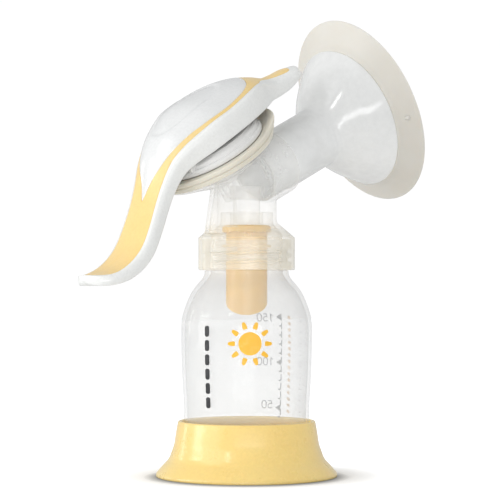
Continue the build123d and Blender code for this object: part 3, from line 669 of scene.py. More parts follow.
def numeral_strokes(text, x, y):
    polygons = []
    for character in text:
        line = GLYPHS[character]
        for from_point, to_point in zip(line, line[1:]):
            start = np.array(from_point) * NUMERAL_HEIGHT
            end = np.array(to_point) * NUMERAL_HEIGHT
            run = (end - start) / np.linalg.norm(end - start)
            side = np.array([-run[1], run[0]]) * PEN_WIDTH / 2
            start, end = start - run * PEN_WIDTH * 0.35, end + run * PEN_WIDTH * 0.35
            polygons.append([np.array([x, y]) + corner for corner in
                             (start - side, end - side, end + side, start + side)])
        x += 0.86 * NUMERAL_HEIGHT
    return polygons


def accent_column():
    """Column of small five-sided spots."""
    spot = [(-5.4, 0), (-4.2, 0.5), (-3.6, 1.4), (-4.6, 2.1), (-5.6, 1.3)]
    return [[(x, 27.0 + i * 2.95 + y) for x, y in spot] for i in range(16)]


def side_marks():
    """Column of alternating long and short lines."""
    marks = []
    for i in range(9):
        rise = i * 5.3
        marks.append(rectangle(-13.4, -12.0, 28.0 + rise, 28.4 + rise))
        marks.append(rectangle(-13.0, -12.0, 30.2 + rise, 30.5 + rise))
    return marks


SUN_R, SUN_Z, SUN_STRIPS, SUN_RAYS = 5.2, 61.5, 20, 10
RAY = [(6.7, -0.9), (7.6, -1.1), (9.6, -0.75), (10.1, 0.0), (9.6, 0.75), (7.6, 1.1), (6.7, 0.9)]


def sun():
    """Disc in upright strips, with rays round it."""
    edge = []
    for i in range(SUN_STRIPS + 1):
        x = -SUN_R * math.cos(math.pi * i / SUN_STRIPS)
        edge.append((x, math.sqrt(max(SUN_R * SUN_R - x * x, 1e-4))))
    polygons = [[(x0, -y0), (x1, -y1), (x1, y1), (x0, y0)]
                for (x0, y0), (x1, y1) in zip(edge, edge[1:])]
    for i in range(SUN_RAYS):
        angle = 2 * math.pi * i / SUN_RAYS
        cos, sin = math.cos(angle), math.sin(angle)
        polygons.append([(x * cos - y * sin, x * sin + y * cos) for x, y in RAY])
    return [[(x, y + SUN_Z) for x, y in polygon] for polygon in polygons]


def dashes():
    """Column of round-ended upright dashes."""
    return [round_poly(rectangle(-1.2, 1.2, 32.5 + 6.4 * i, 32.5 + 6.4 * i + 4.9), 1.1, 5)
            for i in range(6)]


numerals = [polygon for entry in NUMERALS for polygon in numeral_strokes(*entry)]
printed("scale_ticks", scale_ticks(), SCALE_AZIMUTH, SCALE_INK)
printed("scale_numerals", numerals, SCALE_AZIMUTH, SCALE_INK)
printed("scale_accent_column", accent_column(), SCALE_AZIMUTH, FAINT_INK)
printed("scale_side_marks", side_marks(), SCALE_AZIMUTH, SCALE_INK)
printed("front_sun_print", sun(), 232.0, ACCENT_INK)
printed("front_dash_print", dashes(), 193.0, DARK_INK)

# ------------------------------------------------------------------ valve
repaint("valve_head", VALVE_LOOK)

FLAP_SLOPE, FLAP_TURN = 0.62, math.radians(-131.0)
FLAP_Z, FLAP_SINK = 79.8, 0.85
FLAP_LONG, FLAP_SHORT, FLAP_SEG = 10.2, 8.4, 72
# (fraction of the radius, height) from the centre below to the centre above
FLAP_PROFILE = [(0.0, 0.0), (0.5, 0.0), (0.94, 0.02), (0.985, 0.12), (1.0, 0.4), (0.985, 0.68),
                (0.94, 0.78), (0.5, 0.8), (0.0, 0.8)]


def valve_flap():
    """Oval membrane lying on the valve's sloping face."""
    cos, sin = math.cos(FLAP_TURN), math.sin(FLAP_TURN)
    turn = np.array([[cos, -sin, 0], [sin, cos, 0], [0, 0, 1.0]])
    normal = np.array([FLAP_SLOPE, 0, 1.0]) / math.hypot(FLAP_SLOPE, 1.0)
    origin = turn @ (np.array([0, 0, FLAP_Z]) - normal * FLAP_SINK)
    x, y, z = turn @ np.array([normal[2], 0, -normal[0]]), turn @ Y_AXIS, turn @ normal
    verts, index = [], []
    for i in range(FLAP_SEG):
        angle = 2 * math.pi * i / FLAP_SEG
        row = []
        for j, (share, height) in enumerate(FLAP_PROFILE):
            if share == 0 and i:
                row.append(index[0][j])
                continue
            row.append(len(verts))
            verts.append(origin + x * (FLAP_LONG * share * math.cos(angle))
                         + y * (FLAP_SHORT * share * math.sin(angle)) + z * height)
        index.append(row)
    return make("valve_membrane_disc", verts, ring_faces(index, close=False), FLAP_LOOK)


attach(valve_flap(), "valve_flap", replaces="valve_membrane")

# ------------------------------------------------------------------ connector
repaint("connector_body", CONNECTOR_LOOK)


# ------------------------------------------------------------------ breast shield
def shield_point(along, radius_up, radius_y, angle):
    origin, x, y, z = SHIELD
    return (origin + z * along + x * (radius_up * math.cos(angle))
            + y * (radius_y * math.sin(angle)))


def oval_loft(name, stations, look, seg):
    """Closed loop of stations swept round the shield axis as ovals."""
    verts = [shield_point(*station, 2 * math.pi * i / seg)
             for i in range(seg) for station in stations]
    faces = grid_faces(seg, len(stations), close_rows=True, close_columns=True)
    return make(name, verts, faces, look, sharp=40.0)


# Stations are (distance along the axis, radius upwards, radius along Y).
funnel_outside = smooth_curve([(5.6, 13.4, 13.4), (12.0, 13.4, 13.4), (19.2, 13.4, 13.4)], 2)
funnel_outside += [(19.9, 13.42, 13.42), (20.0, 13.6, 13.6), (20.05, 13.9, 13.9),
                   (20.2, 14.12, 14.12), (20.5, 14.2, 14.2)]
funnel_outside += smooth_curve(
    [(26.0, 14.2, 14.2), (36.0, 14.2, 14.2), (45.5, 14.22, 14.22), (48.0, 14.35, 14.3),
     (49.3, 14.75, 14.65), (50.8, 15.6, 15.3), (53.0, 17.4, 16.9), (56.5, 20.9, 19.8),
     (62.0, 26.4, 24.0), (68.5, 31.8, 27.8), (72.2, 34.65, 29.75)], 5)
funnel_edge = [(72.55, 34.5, 29.6), (72.58, 33.9, 29.0), (72.5, 33.3, 28.4)]
funnel_inside = smooth_curve(
    [(72.3, 33.0, 28.1), (68.5, 30.1, 26.0), (62.0, 24.6, 22.2), (56.5, 19.1, 18.0),
     (53.0, 15.6, 15.1), (50.8, 13.7, 13.4), (48.8, 12.5, 12.4), (46.5, 12.0, 12.0),
     (30.0, 12.0, 12.0), (5.6, 12.0, 12.0)], 5)
funnel_end = [(5.2, 12.15, 12.15), (5.02, 12.45, 12.45), (5.0, 12.8, 12.8), (5.05, 13.1, 13.1),
              (5.25, 13.3, 13.3)]
funnel = oval_loft("shield_funnel_wall",
                   funnel_outside + funnel_edge + funnel_inside + funnel_end, FUNNEL_LOOK, seg=160)
attach(funnel, "shield", replaces="breast_shield_funnel")

PIP_STATION = (77.2, 40.3, 34.0)
rim_back = smooth_curve(
    [(72.75, 34.95, 30.0), (74.2, 36.3, 31.0), (75.6, 38.0, 32.3), PIP_STATION,
     (78.6, 42.5, 35.5), (79.8, 44.5, 36.9), (80.5, 45.8, 37.8)], 5)
rim_bead = [(80.85, 46.45, 38.2), (81.1, 46.75, 38.45), (81.35, 46.8, 38.5), (81.5, 46.5, 38.2),
            (81.45, 46.0, 37.8), (81.25, 45.4, 37.2)]
rim_inside = smooth_curve(
    [(80.8, 44.2, 36.3), (80.0, 42.7, 35.2), (78.8, 40.7, 33.8), (77.5, 38.7, 32.4),
     (76.0, 36.7, 30.9), (74.6, 34.9, 29.5), (73.1, 33.4, 28.3)], 5)
rim_tail = [(72.8, 33.4, 28.35), (72.68, 33.9, 28.9), (72.66, 34.5, 29.5)]
rim = oval_loft("shield_rim_skin", rim_back + rim_bead + rim_inside + rim_tail, RIM_LOOK, seg=200)
attach(rim, "shield", replaces="shield_soft_rim")

PIP_ANGLE = math.radians(-96.0)
PIP_SLOPE = (2.6, 4.2, 2.9)                     # direction of the rim there, as a station step
PIP_PROFILE = [(0.0, -0.8), (1.25, -0.8), (1.3, -0.2), (1.15, 0.35), (0.85, 0.75), (0.4, 0.98),
               (0.0, 1.02)]


def rim_pip():
    """Small pip on the back of the rim, on its -Y side."""
    _, x, y, axis = SHIELD
    cos, sin = math.cos(PIP_ANGLE), math.sin(PIP_ANGLE)
    outwards = axis * PIP_SLOPE[0] + x * (PIP_SLOPE[1] * cos) + y * (PIP_SLOPE[2] * sin)
    around = x * (-PIP_STATION[1] * sin) + y * (PIP_STATION[2] * cos)
    normal = np.cross(around, outwards)
    normal = normal / np.linalg.norm(normal)
    if normal @ axis > 0:
        normal = -normal
    around = around / np.linalg.norm(around)
    axes = (shield_point(*PIP_STATION, PIP_ANGLE), around, np.cross(normal, around), normal)
    return turned("rim_pip", PIP_PROFILE, RIM_LOOK, seg=28, axes=axes, sharp=None)


attach(rim_pip(), "shield")

# ------------------------------------------------------------------ diaphragm
# Outline in the bowl frame, (radius, height).
diaphragm_rim = round_poly(
    [(27.05, 0.0, 0.15), (29.3, 0.0, 0.6), (29.4, 1.9, 0.7), (28.9, 2.05, 0.25),
     (28.9, 2.5, 0.25), (29.4, 2.7, 0.7), (29.15, 4.55, 0.8), (25.8, 4.6, 0.7), (24.4, 3.4, 0)],
    0.4, 5)
diaphragm_top = smooth_curve(
    [(24.2, 3.1), (22.9, 1.4), (21.8, 0.7), (20.6, 0.8), (19.0, 2.3), (17.0, 3.35), (15.0, 2.3),
     (13.4, 1.0), (11.6, 0.85), (9.6, 1.6), (7.0, 2.6), (5.6, 2.8)], 4)
diaphragm_hole = [(2.4, 2.8), (2.07, 2.6), (2.07, -0.4), (2.3, -0.6)]
diaphragm_under = smooth_curve(
    [(6.0, -0.6), (7.2, 0.6), (9.4, 0.4), (11.4, -0.25), (13.8, -0.25), (15.4, 1.1), (17.0, 2.05),
     (18.6, 1.1), (20.2, -0.35), (22.9, -0.1), (24.4, 1.3), (25.6, 1.7)], 4)

HOOD_START_R, HOOD_OUT, HOOD_RISE = 27.2, 4.1, 3.0
HOOD_HALF_ANGLE, HOOD_FADE = math.radians(60), math.radians(16)


def hood(angle, radius, height):
    """Rim swept up and out on the side away from the lever."""
    if radius < HOOD_START_R:
        return radius, height
    away = abs((angle + math.pi) % (2 * math.pi) - math.pi)
    sweep = smoothstep(min(1.0, max(0.0, (HOOD_HALF_ANGLE - away) / HOOD_FADE)))
    grow = min(1.0, max(0.0, (height - 0.3) / 4.2)) * min(1.0, (radius - HOOD_START_R) / 1.2)
    return radius + HOOD_OUT * sweep * grow, height + HOOD_RISE * sweep * grow


diaphragm = turned("diaphragm_moulding",
                   diaphragm_rim + diaphragm_top + diaphragm_hole + diaphragm_under
                   + [(27.05, 1.3)],
                   DIAPHRAGM_LOOK, seg=240, axes=BOWL, radial=hood)
attach(diaphragm, "connector", replaces="diaphragm")

# ------------------------------------------------------------------ stem and swivel carrier
repaint("pull_stem", STEM_LOOK)
repaint("stem_cross_pin", STEM_LOOK)
repaint("fulcrum_pin", PIN_LOOK)
repaint("handle_frame", FRAME_LOOK)

O_RING_R, O_RING_CORD_R, O_RING_HEIGHT, O_RING_SIDES = 2.12, 0.53, 6.2, 20
cord_angles = [2 * math.pi * i / O_RING_SIDES for i in range(O_RING_SIDES)]
o_ring = turned("o_ring_loop",
                [(O_RING_R + O_RING_CORD_R * math.cos(angle),
                  O_RING_HEIGHT + O_RING_CORD_R * math.sin(angle)) for angle in cord_angles],
                O_RING_LOOK, seg=64, axes=BOWL, sharp=None)
attach(o_ring, "stem", replaces="stem_o_ring")

carrier_outline = round_poly(
    [(7.2, 4.65), (25.5, 4.65), (26.0, 5.3), (26.0, 6.4), (25.5, 7.4, 0.4), (24.9, 7.5, 0.2),
     (24.4, 8.7, 0.5), (23.3, 9.5), (23.1, 9.25, 0.15), (21.9, 10.1), (19.4, 10.4),
     (18.2, 9.4, 0.4), (16.4, 9.0), (16.2, 8.75, 0.15), (13.4, 9.1), (13.2, 8.8, 0.15),
     (8.2, 9.2), (7.2, 8.6)], 0.35, 4)
carrier = turned("swivel_carrier_disc", carrier_outline, CARRIER_LOOK, seg=160, axes=BOWL)
attach(carrier, "swivel", replaces="swivel_carrier")

EAR_U, EAR_W = (-23.55, -15.45), (7.2, 16.65)   # extents in the bowl frame
EAR_THICK, EAR_TOP_R, EAR_SOFT = 2.2, 3.2, 0.25


def carrier_ear(number, y_low):
    """Upright lug with a rounded top and softened edges."""
    (left, right), (low, high) = EAR_U, EAR_W
    outline = round_poly([(left, low, 0.3), (right, low, 0.3), (right, high, EAR_TOP_R),
                          (left, high, EAR_TOP_R)], EAR_TOP_R, 8)
    y_high = y_low + EAR_THICK
    mid_u, mid_w = (left + right) / 2, (low + high) / 2
    rows = []
    for y, inset in ((y_low, EAR_SOFT), (y_low + EAR_SOFT, 0.0),
                     (y_high - EAR_SOFT, 0.0), (y_high, EAR_SOFT)):
        shrink_u = 1 - inset / ((right - left) / 2)
        shrink_w = 1 - inset / ((high - low) / 2)
        rows.append([BOWL_CENTRE + BOWL_U * (mid_u + (along - mid_u) * shrink_u) + Y_AXIS * y
                     + BOWL_W * (mid_w + (up - mid_w) * shrink_w) for along, up in outline])
    return make("carrier_ear_%d" % number, *loft(rows), CARRIER_LOOK)


for i, y_low in enumerate((-12.6, 10.4)):
    attach(carrier_ear(i + 1, y_low), "swivel")


# ------------------------------------------------------------------ handle
def on_bowl(along, up, half_width, depth, rise):
    """Handle station placed in the bowl frame."""
    point = BOWL_CENTRE + BOWL_U * along + BOWL_W * up
    return (point[0], point[2], BOWL_TILT, half_width, depth, rise)


# From lever tip to thumb end: x, z, slope in degrees, half-width, depth, rise of the crown.
STATIONS = np.array([
    (-92.6, 90.9, 9, 10.5, 3.7, 0.8), (-88.0, 91.3, 12, 10.5, 4.2, 0.8),
    (-83.0, 92.5, 20, 10.6, 4.8, 0.8), (-77.5, 95.0, 32, 10.8, 5.6, 0.9),
    (-72.1, 99.2, 45, 10.9, 6.2, 1.0), (-67.7, 104.7, 57, 10.9, 6.4, 1.0),
    (-63.7, 113.2, 67, 10.6, 6.5, 1.0), (-60.4, 122.0, 70.5, 10.3, 6.7, 1.2),
    (-57.0, 131.5, 69, 11.0, 7.0, 2.0), (-53.0, 141.0, 60, 13.2, 8.0, 4.5),
    (-48.2, 147.4, 50, 16.2, 8.8, 7.4), (-43.2, 152.3, 43, 18.8, 9.4, 9.4),
    on_bowl(-6.0, 21.4, 21.6, 9.8, 10.8), on_bowl(5.4, 21.3, 22.3, 9.8, 10.0),
    on_bowl(18.8, 21.3, 20.3, 10.6, 7.5), on_bowl(28.6, 20.1, 16.2, 10.6, 5.6),
    on_bowl(36.5, 17.3, 11.3, 9.2, 4.3), on_bowl(44.8, 13.3, 8.4, 7.2, 2.8),
    on_bowl(52.0, 11.6, 7.8, 6.1, 2.4), on_bowl(59.0, 10.6, 7.8, 4.3, 2.1),
    on_bowl(65.2, 9.2, 7.8, 2.8, 1.6)], float)
LENGTHS = np.r_[0, np.cumsum(np.hypot(np.diff(STATIONS[:, 0]), np.diff(STATIONS[:, 1])))]
HANDLE_LENGTH = float(LENGTHS[-1])
TIP_R, THUMB_R = 10.5, 7.8
RIM_WIDTH = 1.2                                 # white rim between the grip and the edge
SKIN = 1.2                                      # depth of the pocket the grip lies in
SKIN_UNDER = SKIN - 0.05                        # underside of the grip and the cover
HOLLOW_INSET, HOLLOW_ROOF = 3.4, 2.7            # hollow below: from the ends, from the crown


def station(along):
    """The station at a length along the handle, by cubic Hermite spans."""
    along = min(max(along, 0.0), HANDLE_LENGTH)
    i = min(int(np.searchsorted(LENGTHS, along, side="right") - 1), len(LENGTHS) - 2)
    span = LENGTHS[i + 1] - LENGTHS[i]
    x = (along - LENGTHS[i]) / span
    start, end = STATIONS[i], STATIONS[i + 1]
    leave = arrive = (end - start) / span
    if i:
        leave = (end - STATIONS[i - 1]) / (LENGTHS[i + 1] - LENGTHS[i - 1])
    if i + 2 < len(LENGTHS):
        arrive = (STATIONS[i + 2] - start) / (LENGTHS[i + 2] - LENGTHS[i])
    x2, x3 = x * x, x ** 3
    return ((2 * x3 - 3 * x2 + 1) * start + (x3 - 2 * x2 + x) * span * leave
            + (3 * x2 - 2 * x3) * end + (x3 - x2) * span * arrive)


def end_scale(along, tip_inset, thumb_inset, thumb_radius=THUMB_R):
    """Width factor that rounds both ends of an outline set in from the handle's."""
    scale = 1.0
    for distance, radius, inset in ((along, TIP_R, tip_inset),
                                    (HANDLE_LENGTH - along, thumb_radius, thumb_inset)):
        room, arc = distance - inset, radius - inset
        if room < arc:
            square = arc * arc - (arc - max(room, 0.0)) ** 2
            scale = min(scale, math.sqrt(max(square, 0.0)) / arc)
    return scale


def crown(y, half_width, rise, drop=0.0):
    """Height of the arched top at y, or of a surface drop below it."""
    radius = (half_width * half_width + rise * rise) / (2 * rise)
    return rise - radius + math.sqrt(max((radius - drop) ** 2 - y * y, 1e-9))


def section_point(x, z, slope, y, height):
    angle = math.radians(slope)
    return np.array([x - math.sin(angle) * height, y, z + math.cos(angle) * height])


def handle_lengths(extra=()):
    """Lengths of the sections: 1 mm apart, closer at both ends."""
    lengths = list(np.linspace(0.0, 1.0, 9) ** 2 * TIP_R)
    lengths += list(np.arange(11.5, HANDLE_LENGTH - 8.2, 1.0))
    lengths += list(HANDLE_LENGTH - (np.linspace(1.0, 0.0, 9) ** 2 * THUMB_R))
    lengths += list(extra)
    return sorted(set(round(float(x), 4) for x in lengths))


def pad_width(along):
    """Half-width of the grip's outline, waisted near the thumb end."""
    half_width = station(along)[3]
    slim = float(np.interp(HANDLE_LENGTH - along, [0, 6, 12, 20, 27, 34],
                           [0.80, 0.86, 0.78, 0.62, 0.84, 1.0]))
    scale = end_scale(along, 3.4, 4.6, thumb_radius=9.5)
    return max((half_width - RIM_WIDTH) * scale * slim, 0.0)


def shell_side(outer, pad, depth, pocket, blend, half_width, rise):
    """(y, height) points of the -Y half: lower lip, side, rounded rim, pocket wall."""
    lip = outer - 0.9 * blend
    points = [(-lip + 0.5 * blend, -depth), (-lip - 0.05, -depth + 0.12),
              (-lip - 0.28, -depth + 0.5)]
    climb = depth - 3.2 if depth > 3.6 else 0.2
    for x in (0.2, 0.4, 0.6, 0.8):
        points.append((-(lip + 0.3 + (outer - lip - 0.3) * x), -depth + 0.5 + climb * x))
    corner = min(2.4, depth - 0.6)
    top_y = max(outer - 1.75 * blend, pad + 0.12)
    top_height = crown(top_y, half_width, rise) - 0.04
    for i in range(7):
        angle = i / 6 * math.pi / 2
        points.append((-(outer - (outer - top_y) * (1 - math.cos(angle))),
                       -corner + (corner + top_height) * math.sin(angle)))
    for x in (0.2, 0.4, 0.6, 0.8):
        y = top_y + (pad + 0.1 - top_y) * x
        points.append((-y, crown(y, half_width, rise)))
    brim = crown(pad, half_width, rise)
    if pocket > 0.2:
        wall_foot = brim - 0.2 - (pocket - 0.2) * min(1, pad / 1.5)
    else:
        wall_foot = brim - 0.19
    return points + [(-(pad + 0.10), brim - 0.02), (-pad, brim - 0.18), (-pad, wall_foot)]


def shell_inside(hollow, hollow_y, depth, half_width, rise):
    """(y, height) points of the hollow under the shell, from +Y to -Y."""
    points = []
    for across in np.linspace(1, -1, 17):
        at_wall = abs(across) == 1
        y = hollow_y * across
        roof = crown(min(abs(y), half_width - 1.31), half_width, rise, HOLLOW_ROOF)
        if at_wall:
            roof -= 0.15
        roof = -depth + (roof + depth) * min(1.0, hollow * 1.2)
        if at_wall:
            points.append((y, -depth + 0.02))
            points.append((y, -depth + (roof + depth) * 0.5))
        points.append((y, max(roof, -depth + (0.015 if at_wall else 0.01))))
    return points + [(y, -depth + 0.02)]


def shell_loop(along):
    """Closed section of the white shell."""
    x, z, slope, half_width, depth, rise = station(along)
    scale = end_scale(along, 0.0, 0.0)
    blend = min(1.0, scale * 1.15)              # thins the rounded ends
    scale = max(scale, 0.02)
    edge = half_width * scale
    pad = max(min(pad_width(along), edge - 0.9), 0.02)
    pocket = SKIN * min(1.0, pad / 1.5)
    depth = depth * (0.35 + 0.65 * min(1, scale * 1.6))
    hollow = end_scale(along, HOLLOW_INSET, HOLLOW_INSET)
    hollow_y = max((half_width - 1.3) * hollow, 0.01)
    side = shell_side(edge + 1.0 * blend, pad, depth, pocket, blend, half_width, rise)
    floor_points = [(pad * across, crown(pad * across, half_width, rise, max(pocket, 0.2)))
                    for across in np.linspace(-1, 1, 15)[1:-1]]
    points = side + floor_points + [(-y, height) for y, height in side[::-1]]
    points += shell_inside(hollow, hollow_y, depth, half_width, rise)
    return [section_point(x, z, slope, y, height) for y, height in points]


shell_rows = [shell_loop(along) for along in handle_lengths()]
shell = make("handle_shell_moulding", *loft(shell_rows, fan=True), WHITE_LOOK, sharp=55)
attach(shell, "handle", replaces="handle_shell")

# Outline of the teardrop cover: length along the handle, half-width.
COVER = [
    (50.4, 0.0), (52.0, 0.75), (53.5, 1.3), (57.0, 2.6), (60.6, 4.3), (64.2, 6.6), (67.6, 8.5),
    (71.6, 10.5), (75.5, 12.4), (80.0, 14.4), (84.8, 16.3), (89.9, 18.3), (95.5, 19.6),
    (102.6, 20.0), (109.3, 19.4), (116.4, 17.9), (122.8, 14.8), (126.6, 11.2), (129.4, 6.8),
    (130.5, 3.4), (130.9, 0.0)]
COVER_START, COVER_END = COVER[0][0], COVER[-1][0]
cover_lengths, cover_widths = np.array(smooth_curve(COVER, 8)).T
cover_widths = np.maximum(cover_widths, 0)


def cover_width(along):
    if along <= COVER_START or along >= COVER_END:
        return 0.0
    return float(np.interp(along, cover_lengths, cover_widths))


# Extra sections of the grip, near the cover's ends, the tip and the thumb end.
GRIP_AT_COVER = [COVER_START, 50.8, 51.2, 126.6, 128.0, 129.0, 129.8, 130.2, 130.5, 130.7, 130.85,
                 COVER_END]
GRIP_AT_TIP = [3.5, 3.7, 4.1, 4.7, 5.5, 6.6]
GRIP_AT_THUMB = [4.7, 4.9, 5.3, 6.0, 7.0]
GRIP_STEPS = 20                                 # across each half


def grip_section(along, side):
    """Points of one half section, and the y where its cover opening ends."""
    x, z, slope, half_width, _, rise = station(along)
    pad = max(pad_width(along) - 0.06, 0.03)
    opening = min(cover_width(along), pad - 0.01)
    swell = float(np.interp(along, [36, 50, 131, 143], [1, 0.3, 0.3, 1])) * min(1, pad / 5)
    points = []
    for i in range(GRIP_STEPS + 1):
        part = i / GRIP_STEPS
        part = smoothstep(part) * 0.5 + part * 0.5
        y = opening + (pad - opening) * part
        drop = edge_drop(0.35, pad - y)
        if opening > 0:
            drop += edge_drop(0.22, y - opening)
        belly = 0.12 * math.sin(math.pi * (pad - y) / pad) * swell
        points.append((y, crown(y, half_width, rise) - drop + belly))
    for i in range(5):
        y = opening + (pad - opening) * (1 - i / 4)
        points.append((y, crown(y, half_width, rise, SKIN_UNDER)))
    return [section_point(x, z, slope, side * y, height) for y, height in points], opening


def handle_grip():
    """Soft yellow grip: lever pad, two bands beside the cover and thumb pad, one skin."""
    extra = GRIP_AT_COVER + GRIP_AT_TIP + [HANDLE_LENGTH - x for x in GRIP_AT_THUMB]
    lengths = [along for along in handle_lengths(extra) if 3.45 <= along <= HANDLE_LENGTH - 4.65]
    verts, faces = [], []
    for side in (-1, 1):
        rows = []
        for along in lengths:
            points, opening = grip_section(along, side)
            rows.append((list(range(len(verts), len(verts) + len(points))), opening))
            verts += points
        for (row, opening), (after, next_opening) in zip(rows, rows[1:]):
            for j in range(len(row)):
                k = (j + 1) % len(row)
                if k == 0 and opening <= 0 and next_opening <= 0:
                    continue                    # inner wall only where there is a cover
                faces.append((row[j], row[k], after[k], after[j]))
        fan_cap(verts, faces, rows[0][0])
        fan_cap(verts, faces, rows[-1][0])
    piece = make("handle_grip_skin", verts, faces, GRIP_LOOK, sharp=None)
    tidy(piece.data, weld=2e-6)                 # join the halves along the middle
    shade(piece.data, sharp=60)
    return piece


attach(handle_grip(), "handle", replaces="handle_grip")

COVER_SECTIONS = [50.9, 51.4, 52.0, 53.0, *np.arange(54.0, 126.0, 0.8), 126.6, 127.4, 128.2,
                  129.0, 129.6, 130.0, 130.3, 130.55, 130.7]
COVER_STEPS = 48                                # across the top
DISH_AT, DISH_LENGTH_R, DISH_WIDTH_R, DISH_DEPTH = 98.0, 21.0, 12.5, 0.75


def cover_section(along):
    x, z, slope, half_width, _, rise = station(along)
    edge = max(cover_width(along) - 0.10, 0.05)
    points = []
    for i in range(COVER_STEPS + 1):
        y = edge * math.sin((i / COVER_STEPS - 0.5) * math.pi)
        inward = edge - abs(y)
        out = math.hypot((along - DISH_AT) / DISH_LENGTH_R, y / DISH_WIDTH_R)
        dish = DISH_DEPTH * smoothstep(min(1.0, (1 - out) / 0.12)) if out < 1.0 else 0.0
        points.append((y, crown(y, half_width, rise) + 0.10 * min(1, inward / 2.0)
                       - edge_drop(0.25, inward) - dish))
    for i in range(13):
        y = edge * math.sin((0.5 - i / 12) * math.pi) * 0.995
        points.append((y, crown(y, half_width, rise, SKIN_UNDER)))
    return [section_point(x, z, slope, y, height) for y, height in points]


# Glossy teardrop let into the grip, with a shallow oval dish in its crown.
cover_rows = [cover_section(along) for along in COVER_SECTIONS]
cover = make("handle_cover_teardrop", *loft(cover_rows, fan=True), COVER_LOOK, sharp=60)
attach(cover, "handle", replaces="handle_cover")


# ------------------------------------------------------------------ floor
def floor_material():
    """White sheet that also glows to the camera, with a painted contact shadow round the foot."""
    material = bpy.data.materials.new("floor_white")
    nodes = Nodes(material)
    output = nodes.add("ShaderNodeOutputMaterial")
    total = nodes.add("ShaderNodeAddShader")
    diffuse = nodes.add("ShaderNodeBsdfDiffuse")
    glow = nodes.add("ShaderNodeEmission")
    camera_ray = nodes.add("ShaderNodeLightPath").outputs["Is Camera Ray"]
    position = nodes.add("ShaderNodeNewGeometry").outputs["Position"]

    def length(vector):
        node = nodes.add("ShaderNodeVectorMath", operation="LENGTH")
        nodes.feed(node.inputs[0], vector)
        return node.outputs["Value"]

    # the glow grows from 0.10 at 40 mm from the axis to 0.52 at 75 mm
    reach = nodes.remap(length(position), 0.040, 0.075, 0.10, 0.52,
                        interpolation_type="SMOOTHSTEP")
    # the painted contact shadow is a ring about a point a little to -X and -Y, with the floor a
    # little darker inside it as painted shade under the stand
    shift = nodes.add("ShaderNodeVectorMath", operation="ADD")
    nodes.feed(shift.inputs[0], position)
    shift.inputs[1].default_value = (0.0020, 0.0023, 0.0)
    ring = nodes.remap(length(shift.outputs[0]), 0.0, 0.06, 0, 1)
    # painted shadow: 0.85 inside, 0.22 at 40 mm, 0.93 from 48 mm out
    painted_shadow_tone = nodes.ramp(ring, [(0.0, 0.85), (0.58, 0.85), (0.67, 0.22), (0.80, 0.93)])
    nodes.feed(diffuse.inputs[0], painted_shadow_tone)
    glow.inputs[0].default_value = (1, 1, 1, 1)
    nodes.feed(glow.inputs[1], nodes.math("MULTIPLY", camera_ray, reach))
    nodes.feed(total.inputs[0], diffuse.outputs[0])
    nodes.feed(total.inputs[1], glow.outputs[0])
    nodes.feed(output.inputs[0], total.outputs[0])
    return material


def floor_sheet():
    mesh = bpy.data.meshes.new("floor_sheet")
    bm = bmesh.new()
    bmesh.ops.create_grid(bm, x_segments=8, y_segments=8, size=3.0)
    bm.to_mesh(mesh)
    bm.free()
    sheet = bpy.data.objects.new("floor_sheet", mesh)
    sheet.location = (0, 0, -0.00005)           # just under the foot
    scene.collection.objects.link(sheet)
    mesh.materials.append(floor_material())
    return sheet


floor_sheet()


# ------------------------------------------------------------------ world
def studio_world():
    """White to the camera, softer and slightly cool as light."""
    world = bpy.data.worlds.new("studio")
    scene.world = world
    nodes = Nodes(world)
    output = nodes.add("ShaderNodeOutputWorld")
    mixer_inputs = []
    for colour, strength in (((1, 1, 1, 1), 1.02), ((0.98, 0.99, 1.0, 1), 0.64)):
        background = nodes.add("ShaderNodeBackground")
        background.inputs[0].default_value = colour
        background.inputs[1].default_value = strength
        mixer_inputs.append(background.outputs[0])
    seen, lighting = mixer_inputs
    mixer = nodes.add("ShaderNodeMixShader")
    nodes.feed(mixer.inputs[0], nodes.add("ShaderNodeLightPath").outputs["Is Camera Ray"])
    nodes.feed(mixer.inputs[1], lighting)
    nodes.feed(mixer.inputs[2], seen)
    nodes.feed(output.inputs[0], mixer.outputs[0])


studio_world()

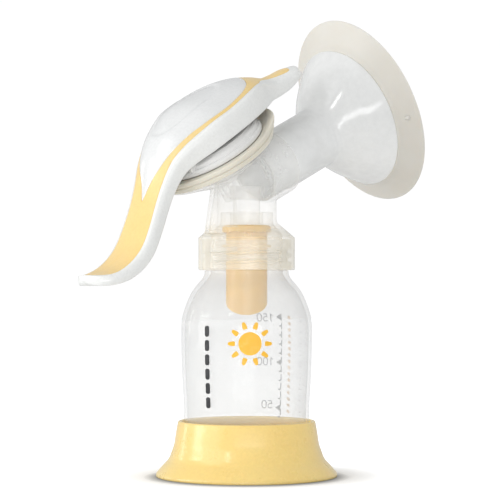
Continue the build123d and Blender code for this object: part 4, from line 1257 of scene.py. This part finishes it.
# ------------------------------------------------------------------ lights and camera, in metres
VIEW_ANGLE = math.radians(41.0)                 # view direction, from +Y towards +X
FORWARD = Vector((math.sin(VIEW_ANGLE), math.cos(VIEW_ANGLE), 0))
RIGHT = Vector((math.cos(VIEW_ANGLE), -math.sin(VIEW_ANGLE), 0))
UP = Vector((0, 0, 1))
MIDDLE = Vector((0, 0, 0.11))
# name, offset from MIDDLE (right, forward, up), size, power in watts, drop of the aim
LIGHTS = [
    ("key_left", (-0.80, -0.45, 0.35), (0.6, 0.8), 2.15, 0),
    ("top_soft", (0, -0.1, 0.95), (1.1, 1.1), 0.6, 0),
    ("front_fill", (0.12, -1.1, -0.02), (0.9, 0.16), 2.9, 0),
    ("strip_left", (-0.95, -0.10, 0.12), (0.30, 0.5), 2.0, 0.03),
    ("edge_left", (-0.87, 0.48, 0.10), (0.10, 0.34), 0.35, 0),
    ("glint", (-0.45, -0.75, 0.45), (0.09, 0.09), 0.4, 0),
]


def aim(thing, direction):
    thing.rotation_mode = "QUATERNION"
    thing.rotation_quaternion = direction.to_track_quat("-Z", "Y")


def area_light(name, offset, size, power, aim_drop):
    data = bpy.data.lights.new(name, "AREA")
    data.shape = "RECTANGLE"
    data.size, data.size_y = size
    data.energy = power
    light = bpy.data.objects.new(name, data)
    place = MIDDLE + RIGHT * offset[0] + FORWARD * offset[1] + UP * offset[2]
    light.location = place
    aim(light, MIDDLE - UP * aim_drop - place)
    scene.collection.objects.link(light)


for entry in LIGHTS:
    area_light(*entry)

CAMERA_PITCH = math.radians(1.055)
camera_data = bpy.data.cameras.new("photo_camera")
camera_data.lens = 136.8
camera_data.sensor_width = 36.0
camera_data.clip_start = 0.01
camera_data.clip_end = 20.0
camera = bpy.data.objects.new("photo_camera", camera_data)
camera.location = (-0.5722, -0.6606, 0.0876)
aim(camera, FORWARD * math.cos(CAMERA_PITCH) + UP * math.sin(CAMERA_PITCH))
scene.collection.objects.link(camera)
scene.camera = camera
scene.view_settings.view_transform = "Standard"
scene.view_settings.look = "None"
scene.cycles.transparent_max_bounces = 48
